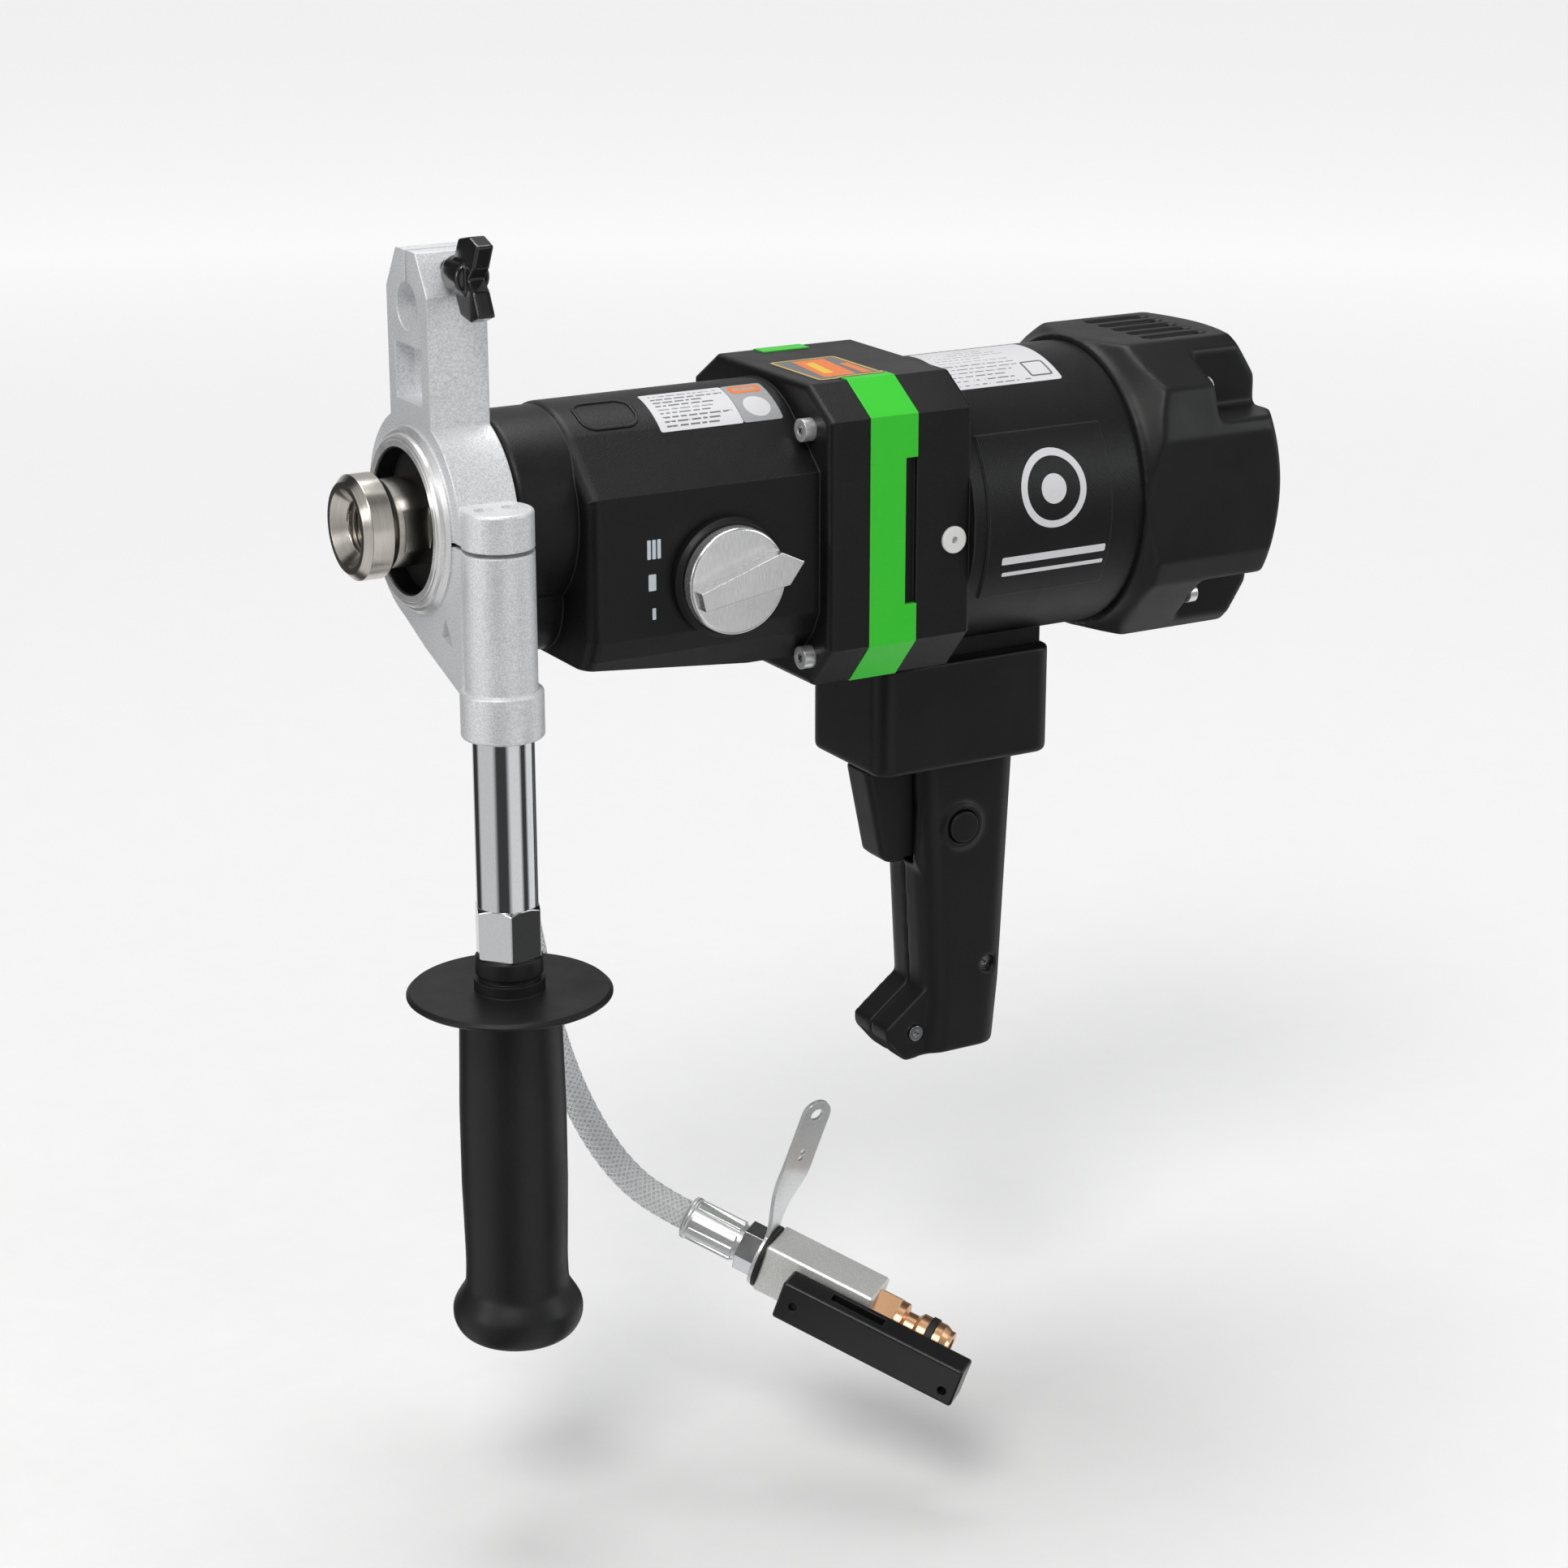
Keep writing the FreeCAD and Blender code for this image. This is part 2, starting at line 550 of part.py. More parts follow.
def shift_fork():
    """Slides on its rail; the knob's pin runs in its slot and its claws ride in the collar."""
    y0 = -RIDGE_Y + WALL + 2.8
    px, pz = pin_at()
    cx = GEAR_X1 + 1 + 8.5
    slot_plate = block(cx - 2, px + PIN_R + 2.2, y0, y0 + 3.6, pz - 5, RAIL_Z)
    slot = block(px - PIN_R - SLIDE, px + PIN_R + SLIDE, y0 - 1, y0 + 9, pz - 3.5, pz + 4.2)
    hub = xcyl(RAIL_R + 2, cx - 6, px + 4, RAIL_Y, RAIL_Z)
    arm = block(cx - 2, cx + 2, RAIL_Y, -DOG_R + 3, -9, 6)
    claw = xring(DOG_R + 3.5, DOG_GROOVE_R + GAP, cx - 2, cx + 2)
    claw = claw.cut(block(cx - 5, cx + 5, -8, FAR, -FAR, FAR))
    body = fuse([slot_plate, hub, arm, claw]).cut(slot)
    return body.cut(xcyl(RAIL_R + SLIDE, cx - 9, px + 9, RAIL_Y, RAIL_Z))


# ---- clamp bracket -----------------------------------------------------------------------------
def clamp_bracket():
    """Cast clamp: ring on the neck, arm with a split rod bore, and a split boss for the handle."""
    w = BRACKET_W
    ring = xcyl(RING_R, 0, w)
    lip = lathe_x([(-1.2, 0), (-1.2, RING_LIP_R - 1), (-0.2, RING_LIP_R), (0.5, RING_LIP_R), (0.5, 0)])
    c = ARM_CHAMFER
    arm = prism_x([(-ARM_HALF, 0), (-ARM_HALF, ARM_TOP - c * 1.6), (-ARM_HALF + c, ARM_TOP),
                   (ARM_HALF - c, ARM_TOP), (ARM_HALF, ARM_TOP - c * 1.6), (ARM_HALF, 0)], 0, w)
    shoulder = prism_x([(-ARM_HALF, 30), (-ARM_HALF, 20), (HANDLE_Y + 6, 0), (0, -6), (0, 30)],
                       0, w)
    web = prism_x([(-12, -30), (-14, -42), (HANDLE_Y, COLLAR_TOP - 6), (HANDLE_Y, -4), (-30, -4)],
                  w / 2 - 5, w / 2 + 5)
    skirt = prism_x([(12, -37), (-6, -45), (HANDLE_Y + 8, COLLAR_TOP - 4), (HANDLE_Y + 6, -2),
                     (-30, -2)], 0, w)
    boss = zcyl(BOSS_R, COLLAR_TOP, BOSS_TOP, HANDLE_X, HANDLE_Y)
    boss = boss.makeFillet(1.2, level_at(boss, BOSS_TOP))
    collar = zcyl(COLLAR_R, COLLAR_BOTTOM, COLLAR_TOP, HANDLE_X, HANDLE_Y)
    collar = collar.makeFillet(1.0, round_edges(collar))
    body = fuse([ring, lip, arm, shoulder, web, skirt, boss, collar])
    tools = [
        xcyl(NECK_R + RUN, -5, w + 5),
        xcyl(ROD_R, -5, w + 5, 0, ROD_Z),
        block(-5, w + 5, -SLIT / 2, SLIT / 2, ROD_Z, ARM_TOP + 5),
        block(-5, 7, -ARM_HALF + 6, ARM_HALF - 6, 42, 62),
        block(w - 7, w + 5, -ARM_HALF + 6, ARM_HALF - 6, 42, 62),
        ycyl(WING_R + SLIDE, -ARM_HALF - 5, ARM_HALF - 3, HANDLE_X, WING_Z),
        block(-5, w + 5, -70, -NECK_R + 4, BOSS_SLIT_Z - SLIT / 2, BOSS_SLIT_Z + SLIT / 2),
        zcyl(STUD_R + SLIDE, COLLAR_BOTTOM - 1, BOSS_TOP - 4, HANDLE_X, HANDLE_Y),
        zcyl(3.2, BOSS_TOP - 1.6, BOSS_TOP + 1, HANDLE_X - 5.2, HANDLE_Y),
        zcyl(3.2, BOSS_TOP - 1.6, BOSS_TOP + 1, HANDLE_X + 5.2, HANDLE_Y),
        prism_x([(-20, -38), (-24, -30), (HANDLE_Y + 15, -40)], -1, 5),
    ]
    for tool in tools:
        body = body.cut(tool)
    return body


def wing_screw():
    """M6 screw with a moulded wing head, which closes the rod clamp."""
    y0 = -ARM_HALF - GAP
    stem = ycyl(WING_R, y0 - 8, ARM_HALF - 3.5, HANDLE_X, WING_Z)
    hub = ycyl(6.5, y0 - 14, y0, HANDLE_X, WING_Z)
    hub = hub.makeChamfer(1.0, round_edges(hub))
    wing = prism_x([(y0 - 3, -3), (y0 - 9, -13), (y0 - 17, -14.6), (y0 - 24, -12), (y0 - 20, -4),
                    (y0 - 16, 0), (y0 - 20, 4), (y0 - 24, 12), (y0 - 17, 14.6), (y0 - 9, 13),
                    (y0 - 3, 3)], HANDLE_X - 3.2, HANDLE_X + 3.2)
    wing.translate(V(0, 0, WING_Z))
    return fuse([stem, hub, wing])


# ---- side handle -------------------------------------------------------------------------------
def handle_stud():
    return zcyl(STUD_R, GRIP_TOP - 40, BOSS_TOP - 4 - GAP, HANDLE_X, HANDLE_Y)


def handle_tube():
    return zring(TUBE_R, STUD_R, HEX_TOP, TUBE_TOP, HANDLE_X, HANDLE_Y)


def handle_hex():
    r = HEX_AF / math.sqrt(3)
    ring = [math.radians(60 * k + 10) for k in range(6)]
    points = [V(HANDLE_X + r * math.cos(a), HANDLE_Y + r * math.sin(a), NECK_TOP) for a in ring]
    nut = Part.Face(Part.makePolygon(points + points[:1])).extrude(V(0, 0, HEX_H))
    turned = lathe_z([(0, NECK_TOP - 0.5), (r - 0.8, NECK_TOP - 0.5), (r + 0.6, NECK_TOP + 1.0),
                      (r + 0.6, HEX_TOP - 1.6), (r - 1.6, HEX_TOP + 0.01), (0, HEX_TOP + 0.01)],
                     HANDLE_X, HANDLE_Y)
    return nut.common(turned).cut(zcyl(STUD_R, NECK_TOP - 1, HEX_TOP + 1, HANDLE_X, HANDLE_Y))


def hand_guard():
    """Grooved neck and guard disc, one moulding between the hexagon and the grip."""
    z1, r = NECK_TOP, GRIP_NECK_R
    body = lathe_z([(0, GRIP_TOP), (DISC_R - 1, GRIP_TOP), (DISC_R, GRIP_TOP + 0.8),
                    (DISC_R, DISC_TOP - 1.2), (DISC_R - 1.2, DISC_TOP), (r + 0.6, DISC_TOP),
                    (r + 0.6, z1 - 9), (r - 1, z1 - 9), (r - 1, z1 - 7), (r, z1 - 7), (r, z1 - 1),
                    (r - 1, z1), (0, z1)], HANDLE_X, HANDLE_Y)
    return body.cut(zcyl(STUD_R, GRIP_TOP - 1, z1 + 1, HANDLE_X, HANDLE_Y))


def handle_grip():
    top, low = GRIP_TOP, GRIP_TOP - GRIP_LEN
    r = GRIP_R
    body = lathe_z([(0, low), (r - 1, low), (r + 2.5, low + 2.5), (r + 4.6, low + 7),
                    (r + 4.6, low + 12), (r + 2.0, low + 16.5), (r - 0.4, low + 20),
                    (r - 0.7, low + 30), (r, low + 60), (r, low + 90), (r - 0.8, top - 12),
                    (r - 1.1, top), (0, top)], HANDLE_X, HANDLE_Y)
    return body.cut(zcyl(STUD_R, top - 40, top + 1, HANDLE_X, HANDLE_Y))


# ---- motor -------------------------------------------------------------------------------------
def green_band():
    """Coloured band let into the motor flange; open at the top, notched on the hand side."""
    x0, x1 = FLANGE_END, BAND_END
    band = flange_prism(x0, x1, 0.4).cut(flange_prism(x0 - 1, x1 + 1, -BAND_T))
    band = band.cut(block(x0 - 1, x1 + 1, -27, 27, FLANGE_TOP - 8, FLANGE_TOP + 8))
    return band.cut(block(x1 - 5, x1 + 1, -FLANGE_HALF - 5, -FLANGE_HALF + BAND_T + 1, -42, 13))


def motor_housing():
    flange = flange_prism(FLANGE_END, BARREL_X)
    flange = flange.makeFillet(2.0, ends_at(flange, BARREL_X))
    recess = flange_prism(FLANGE_END - 1, BAND_END, 3).cut(
        flange_prism(FLANGE_END - 2, BAND_END + 1, -BAND_T))
    recess = recess.cut(block(FLANGE_END - 2, BAND_END + 1, -27, 27, FLANGE_TOP - 8, FLANGE_TOP + 8))
    barrel = xcyl(MOTOR_R, BARREL_X - 1, COVER_X, 0, MOTOR_Z)
    panel = xcyl(MOTOR_R + 0.9, BARREL_X + 5, COVER_X - 15, 0, MOTOR_Z).common(
        block(BARREL_X, COVER_X, -FAR, 0, MOTOR_Z - 27.6, MOTOR_Z + 33.4))
    foot = block(BARREL_X + 3, BOX_X1 - 3, -21, 21, BOX_TOP, MOTOR_Z - MOTOR_R + 8)
    shell = fuse([flange.cut(recess), barrel, panel, foot])
    inner_r = MOTOR_R - MOTOR_WALL
    flange_bore = FLANGE_HALF - 4.5
    tools = [
        xcyl(22, FLANGE_END - 1, FLANGE_END + 4, 0, MOTOR_Z),
        xcyl(flange_bore, FLANGE_END + 3, BARREL_X + 1, 0, MOTOR_Z),
        xcyl(inner_r, BARREL_X, COVER_X + 1, 0, MOTOR_Z),
        ycyl(PLUG_SHANK_R, -FLANGE_HALF - 1, -FLANGE_HALF + 4, PLUG_X, PLUG_Z),
    ]
    tools += [xcyl(FLANGE_SCREW_R, FLANGE_END - 1, FLANGE_END + 12, y, z)
              for y, z in flange_screws()]
    for tool in tools:
        shell = shell.cut(tool)
    return shell


def flange_plug():
    """Small round cap on the hand side of the motor flange."""
    head = ycyl(5.1, -FLANGE_HALF - 1.3, -FLANGE_HALF, PLUG_X, PLUG_Z)
    head = head.makeFillet(0.6, beyond(head, -FLANGE_HALF - 1))
    body = head.fuse(ycyl(PLUG_SHANK_R, -FLANGE_HALF - 0.5, -FLANGE_HALF + 3.5, PLUG_X, PLUG_Z))
    return body.cut(ycyl(1.3, -FLANGE_HALF - 3, -FLANGE_HALF + 0.5, PLUG_X, PLUG_Z))


def cover_outline():
    """Half of the rear cover's section, from top to bottom, about the motor axis."""
    h = COVER_R
    return [(h / 2 - 0.65, MOTOR_Z + h), (h - 6, MOTOR_Z + h - 13.8), (h, MOTOR_Z + h - 32.3),
            (h, MOTOR_Z - h + 35.3), (h - 4, MOTOR_Z - h + 25.3), (h / 2 + 1.35, MOTOR_Z - h)]


def cover_screws_at():
    y, up, down = COVER_R - 15.8, COVER_R - 16.8, COVER_R - 17.3
    return [(side * y, z) for side in (-1, 1) for z in (MOTOR_Z + up, MOTOR_Z - down)]


def rear_cover():
    x0, x1 = COVER_X, COVER_END
    ring = xcyl(COVER_R, x0, x0 + 14, 0, MOTOR_Z)
    lobes = prism_x(mirror_y(cover_outline()), x0 + 2, x1)
    cone = lathe_x([(x0 + 2, 0), (x0 + 2, COVER_R), (x0 + 14, COVER_R + 12), (x1 - 12, COVER_R + 10),
                    (x1, COVER_R - 5), (x1, 0)], 0, MOTOR_Z)
    body = ring.fuse(lobes.common(cone))
    notch_x = x0 + 35
    tools = [
        xcyl(MOTOR_R - MOTOR_WALL, x0 - 1, x0 + 26, 0, MOTOR_Z),
        xcyl(COVER_R - 16.3, x0 + 25, x1 - 6, 0, MOTOR_Z).cut(
            xcyl(REAR_BEARING_R + 4, x0 + 40, x1, 0, MOTOR_Z)),
        xcyl(REAR_BEARING_R, x0 + 39, x0 + 50, 0, MOTOR_Z),
        xcyl(7, x0 + 49, x0 + 54, 0, MOTOR_Z),
    ]
    for side in (-1, 1):
        y0, y1 = sorted((side * (COVER_R - 23.3), side * FAR))
        tools.append(block(notch_x, x1 + 5, y0, y1, MOTOR_Z + COVER_R - 27.3, FAR))
        tools.append(block(notch_x - 4, x1 + 5, y0, y1, -FAR, MOTOR_Z - COVER_R + 24.3))
    tools += [block(x0 + 24, x0 + 52, 9.5 * k - 2.3, 9.5 * k + 2.3, MOTOR_Z + COVER_R - 19.3, FAR)
              for k in range(-2, 3)]
    for y, z in cover_screws_at():
        start = notch_x if z > MOTOR_Z else notch_x - 4
        tools.append(xcyl(COVER_SCREW_R, start - 14, start + 1, y, z))
    for tool in tools:
        body = body.cut(tool)
    return body


def casing_screws():
    """Four screws through the gearbox flange and four through the rear cover's corners."""
    screws = [screw((BODY_END, y, z), (1, 0, 0), FLANGE_SCREW_R, FLANGE_T + 12, 4.25, 4.5, 2.0)
              for y, z in flange_screws()]
    for y, z in cover_screws_at():
        seat = COVER_X + 35 if z > MOTOR_Z else COVER_X + 31
        screws.append(screw((seat, y, z), (-1, 0, 0), COVER_SCREW_R, 14, 4.0, 3.4, 1.8))
    return Part.makeCompound(screws)


def stator():
    inner = CORE_R + AIR_GAP
    body = xring(MOTOR_R - MOTOR_WALL, inner, BARREL_X + 7, COVER_X - 14, 0, MOTOR_Z)
    for side in (-1, 1):
        z = MOTOR_Z + side * (CORE_R + 9.2)
        body = body.cut(block(BARREL_X, COVER_X, -12, 12, z - 6, z + 6))
    return body


def field_coils():
    """Two rings of winding, one at each end of the stator."""
    ends = [(BARREL_X - 3, BARREL_X + 7), (COVER_X - 14, COVER_X - 7)]
    return Part.makeCompound([xring(COIL_R, CORE_R + 5, a, b, 0, MOTOR_Z) for a, b in ends])


def armature_shaft():
    pinion = gear(PINION_TEETH, WHEEL_MODULE, WHEEL_X0 - 1, BODY_END, MOTOR_Z, 0,
                  -90 + 180 / PINION_TEETH)
    x_end = COVER_X + 50
    shaft = lathe_x([(BODY_END - 0.5, 0), (BODY_END - 0.5, 4), (BODY_END + 2, SHAFT_R),
                     (x_end - 10, SHAFT_R), (x_end - 10, REAR_SEAT_R), (x_end, REAR_SEAT_R),
                     (x_end, 0)], 0, MOTOR_Z)
    return pinion.fuse(shaft)


def armature_core():
    core = xring(CORE_R, SHAFT_R, BARREL_X + 8, COVER_X - 15, 0, MOTOR_Z)
    slots = 16
    for k in range(slots):
        a = 2 * math.pi * k / slots
        slot = block(BARREL_X, COVER_X, 0, 2.0, -1.1, 1.1)
        slot.translate(V(0, CORE_R - 1.5, 0))
        slot.rotate(V(0, 0, 0), V(1, 0, 0), math.degrees(a))
        slot.translate(V(0, 0, MOTOR_Z))
        core = core.cut(slot)
    return core


def armature_windings():
    ends = [(BARREL_X - 1, BARREL_X + 8), (COVER_X - 15, COVER_X - 7)]
    return Part.makeCompound([xring(CORE_R - 5, SHAFT_R, a, b, 0, MOTOR_Z) for a, b in ends])


def commutator():
    return xring(COMM_R, SHAFT_R, COVER_X - 5, COVER_X + 13, 0, MOTOR_Z)


def cooling_fan():
    x0 = FLANGE_END + 21
    disc = xring(FAN_R, SHAFT_R, x0, x0 + 2.5, 0, MOTOR_Z)
    hub = xring(12, SHAFT_R, x0, x0 + 14, 0, MOTOR_Z)
    blades = []
    for k in range(FAN_BLADES):
        blade = block(x0 + 2, x0 + 14, 11, FAN_R - 1, -0.9, 0.9)
        blade.rotate(V(0, 0, 0), V(1, 0, 0), 360 * k / FAN_BLADES)
        blade.translate(V(0, 0, MOTOR_Z))
        blades.append(blade)
    return fuse([disc, hub] + blades)


def armature_bearings():
    front = bearing(BODY_END + 8.5, BODY_END + 16.5, 0, MOTOR_Z, SHAFT_R, MOTOR_BEARING_R, 8)
    rear = bearing(COVER_X + 41, COVER_X + 49, 0, MOTOR_Z, REAR_SEAT_R, REAR_BEARING_R, 8)
    return Part.makeCompound(front.Solids + rear.Solids)


def brush_box(side):
    y0, y1 = sorted((side * (COMM_R + 2), side * (MOTOR_R - 9)))
    return block(BRUSH_X0 - 1.6, BRUSH_X1 + 1.6, y0, y1,
                 MOTOR_Z - BRUSH_HALF - 1.6, MOTOR_Z + BRUSH_HALF + 1.6)


def brush_carrier():
    """Insulating ring with the two brush boxes moulded into it."""
    body = xring(MOTOR_R - MOTOR_WALL, MOTOR_R - 19, COVER_X + 1, COVER_X + 7, 0, MOTOR_Z)
    for side in (-1, 1):
        body = body.fuse(brush_box(side))
    for side in (-1, 1):
        y0, y1 = sorted((side * (COMM_R + 1), side * (MOTOR_R - 11)))
        body = body.cut(block(BRUSH_X0 - SLIDE, BRUSH_X1 + SLIDE, y0, y1,
                              MOTOR_Z - BRUSH_HALF - SLIDE, MOTOR_Z + BRUSH_HALF + SLIDE))
    return body


def carbon_brushes():
    brushes = []
    for side in (-1, 1):
        y0, y1 = sorted((side * (COMM_R - 2), side * (MOTOR_R - 19)))
        brush = block(BRUSH_X0, BRUSH_X1, y0, y1, MOTOR_Z - BRUSH_HALF, MOTOR_Z + BRUSH_HALF)
        brushes.append(brush.cut(xcyl(COMM_R + RUN, BRUSH_X0 - 5, BRUSH_X1 + 5, 0, MOTOR_Z)))
    return Part.makeCompound(brushes)


# ---- electronics box and pistol grip -----------------------------------------------------------
def rounded_box(x0, x1, half, z0, z1, r):
    body = block(x0, x1, -half, half, z0, z1)
    upright = [e for e in body.Edges if abs(e.Vertexes[0].Z - e.Vertexes[-1].Z) > 1]
    return body.makeFillet(r, upright)


def electronics_box():
    body = rounded_box(BOX_X0, BOX_X1, BOX_HALF, BOX_BOTTOM, BOX_TOP, BOX_CORNER)
    body = body.makeFillet(2.0, level_at(body, BOX_BOTTOM))
    w = BOX_WALL
    room = rounded_box(BOX_X0 + w, BOX_X1 - w, BOX_HALF - w, BOX_BOTTOM + w, BOX_TOP - w, BOX_CORNER - w)
    lead = zcyl(6, BOX_BOTTOM - 1, BOX_TOP + 1, GLAND_X + 3, 0)
    return body.cut(room).cut(lead)


def control_module():
    w = BOX_WALL
    return block(BOX_X0 + w + 6, BOX_X1 - w - 42, -BOX_HALF + w + 5, BOX_HALF - w - 5,
                 BOX_BOTTOM + w, BOX_TOP - w - 10)


def grip_section(x0, x1, half, z, r):
    """Rounded rectangle at this height."""
    flat = block(x0, x1, -half, half, z - 1, z)
    upright = [e for e in flat.Edges if abs(e.Vertexes[0].Z - e.Vertexes[-1].Z) > 0.5]
    body = flat.makeFillet(r, upright)
    top = max(body.Faces, key=lambda f: f.CenterOfMass.z)
    return top.OuterWire


def grip_loft(inset):
    top_z = BOX_BOTTOM - inset
    low = [(GRIP_TOP_X0, GRIP_TOP_X1, top_z), (GRIP_LOW_X0, GRIP_LOW_X1, GRIP_LOW_Z),
           (GRIP_LOW_X0 - 3, GRIP_LOW_X1 - 2.5, GRIP_BOTTOM + inset)]
    wires = [grip_section(a + inset, b - inset, GRIP_HALF - inset, z, 9.0 - inset) for a, b, z in low]
    return Part.makeLoft(wires, True, True)


def grip_body():
    x, low, top, foot = GRIP_LOW_X0, GRIP_LOW_Z, BOX_BOTTOM, GRIP_BOTTOM
    toe = prism_y([(x + 4, low - 1), (x, low + 1), (x - 18, foot + 13), (x - 17.5, foot + 8),
                   (x - 9, foot - 2), (x + 10, foot)], -RIB_HALF, RIB_HALF)
    x = GRIP_TOP_X0
    guard = prism_y([(x + 2, top - 0.5), (x + 12, top - 0.5), (x + 12, top - 50), (x + 5, top - 50),
                     (x + 1, top - 42)], -RIB_HALF, RIB_HALF)
    button_ring = ycyl(9.2, -GRIP_HALF - 1.8, -GRIP_HALF + 4, BUTTON_X, BUTTON_Z)
    outer = fuse([grip_loft(0), toe, guard, button_ring])
    posts = fuse([ycyl(4, -GRIP_HALF, GRIP_HALF, x, z) for x, z in grip_screws_at()])
    half = TRIGGER_HALF + GAP
    tools = [grip_loft(GRIP_WALL).cut(posts),
             block(x - 50, x + 20, -half, half, top - 43 - GAP, top - 1 + GAP),
             ycyl(BUTTON_R + SLIDE, -GRIP_HALF - 5, -GRIP_HALF + 8, BUTTON_X, BUTTON_Z),
             zcyl(GLAND_R, foot - 5, foot + 8, GLAND_X, 0)]
    for x, z in grip_screws_at():
        tools.append(ycyl(GRIP_SCREW_R, -GRIP_HALF - 1, GRIP_HALF - 4, x, z))
        tools.append(ycyl(3.25, -GRIP_HALF - 1, -GRIP_HALF + 6, x, z))
    for tool in tools:
        outer = outer.cut(tool)
    return outer


def grip_screws_at():
    return [(GRIP_LOW_X0 + 27, GRIP_LOW_Z + 8.5), (GRIP_LOW_X0 - 4.5, GRIP_BOTTOM + 9.5)]


def grip_half(side):
    y0, y1 = sorted((0, side * FAR))
    return grip_body().common(block(0, FAR, y0, y1, -FAR, 0))


def grip_shell_left():
    return grip_half(-1)


def grip_shell_right():
    return grip_half(1)


def grip_screws():
    return Part.makeCompound([
        screw((x, -GRIP_HALF + 6, z), (0, 1, 0), GRIP_SCREW_R, 2 * GRIP_HALF - 10, 3.1, 2.4, 1.4)
        for x, z in grip_screws_at()])


def trigger():
    """Trigger with the stem that pushes the switch; slides straight back."""
    x, z, half = TRIGGER_X, BOX_BOTTOM, TRIGGER_HALF
    face = prism_y([(x - 19.5, z - 3), (x - 2, z - 3), (x - 2, z - 41.5), (x - 9, z - 41.5),
                    (x - 12, z - 39)], -half, half)
    face = face.makeFillet(2.5, [e for e in face.Edges
                                 if all(v.X < x - 8 for v in e.Vertexes)
                                 and abs(e.Vertexes[0].Y - e.Vertexes[-1].Y) < 0.1])
    body = block(x - 3, x + 5, -half, half, z - 40, z - 3)
    return fuse([face, body, block(x + 4, STEM_X, -4, 4, z - 28, z - 16)])


def switch_module():
    x0 = STEM_X + TRIGGER_TRAVEL + GAP
    body = block(x0, SWITCH_X1, -SWITCH_HALF, SWITCH_HALF, BOX_BOTTOM - 46, BOX_BOTTOM - 6)
    return body.cut(ycyl(4.5, -SWITCH_HALF - 1, -3, BUTTON_X, BUTTON_Z))


def lock_button():
    head = ycyl(BUTTON_R, -GRIP_HALF - 2.6, -GRIP_HALF + 3.4, BUTTON_X, BUTTON_Z)
    head = head.makeFillet(0.7, beyond(head, -GRIP_HALF - 2))
    return head.fuse(ycyl(3.0, -GRIP_HALF + 3, -SWITCH_HALF - BUTTON_TRAVEL + 3, BUTTON_X, BUTTON_Z))


def cord_gland():
    """Bush for the power cord, flush in the foot of the grip."""
    top = GRIP_BOTTOM + 8
    return zring(GLAND_R, 3.6, GRIP_BOTTOM - 0.6, top, GLAND_X, 0)


# ---- water inlet, hose and valve ---------------------------------------------------------------
def water_inlet():
    """Banjo fitting: a spigot in the housing boss and an upright barrel."""
    x, y, _ = HOSE_ROUTE[0]
    body = ycyl(6, 28, y, x, WATER_Z).fuse(zcyl(7.5, WATER_Z - 10, WATER_Z + 9, x, y))
    body = body.cut(ycyl(3, 27, y, x, WATER_Z))
    return body.cut(zcyl(3, WATER_Z - 11, WATER_Z, x, y))


def hose_path():
    """Straight runs joined by tangent arcs, and what the arcs measure."""
    points = [V(*p) for p in HOSE_ROUTE]
    edges, radii, start = [], [], points[0]
    for before, corner, after in zip(points, points[1:], points[2:]):
        a, b = (before - corner), (after - corner)
        run = min(a.Length, b.Length)
        a, b = a.normalize(), b.normalize()
        half_turn = (math.pi - a.getAngle(b)) / 2
        cut_back = 0.45 * run
        radius = cut_back / math.tan(half_turn)
        middle = (a + b).normalize() * (radius / math.cos(half_turn) - radius)
        first, last = corner + a * cut_back, corner + b * cut_back
        edges.append(Part.LineSegment(start, first).toShape())
        edges.append(Part.Arc(first, corner + middle, last).toShape())
        radii.append(radius)
        start = last
    edges.append(Part.LineSegment(start, points[-1]).toShape())
    return Part.Wire(edges), radii


def water_hose():
    path, radii = hose_path()
    way = V(*HOSE_ROUTE[1]) - V(*HOSE_ROUTE[0])
    ring = Part.Wire(Part.makeCircle(HOSE_R, V(*HOSE_ROUTE[0]), way))
    tube = path.makePipeShell([ring], True, True)
    want = math.pi * HOSE_R ** 2 * path.Length
    print("hose: length %.1f mm, volume %.0f, section x length %.0f" % (path.Length, tube.Volume, want))
    print("hose radii:", " ".join("%.0f" % r for r in radii))
    return tube


def on_valve(shape):
    """Place a shape drawn along +X from the hose's end: +X is the flow and -Y the lever's side."""
    a = (V(*HOSE_ROUTE[-1]) - V(*HOSE_ROUTE[-2])).normalize()
    n = V(a.y, -a.x, 0).normalize()
    w = n.cross(a)
    end = V(*HOSE_ROUTE[-1])
    m = FreeCAD.Matrix(a.x, -n.x, w.x, end.x, a.y, -n.y, w.y, end.y, a.z, -n.z, w.z, end.z, 0, 0, 0, 1)
    moved = shape.copy()
    moved.transformShape(m, True)
    return moved


def hose_ferrules():
    """The crimped sleeve at each end of the hose."""
    x, y, z = HOSE_ROUTE[0]
    inlet = zring(7.2, 3, z, WATER_Z - 10, x, y)
    body = lathe_x([(0, 0), (0, 7.6), (2, 8.0), (FERRULE_LEN, 7.2), (FERRULE_LEN, 0)])
    return Part.makeCompound([inlet, on_valve(body.cut(xcyl(3, -1, FERRULE_LEN + 1)))])


def hose_nut():
    body = hexagon_x(17, FERRULE_LEN, FERRULE_LEN + NUT_LEN).cut(xcyl(3, 0, 60))
    return on_valve(body)


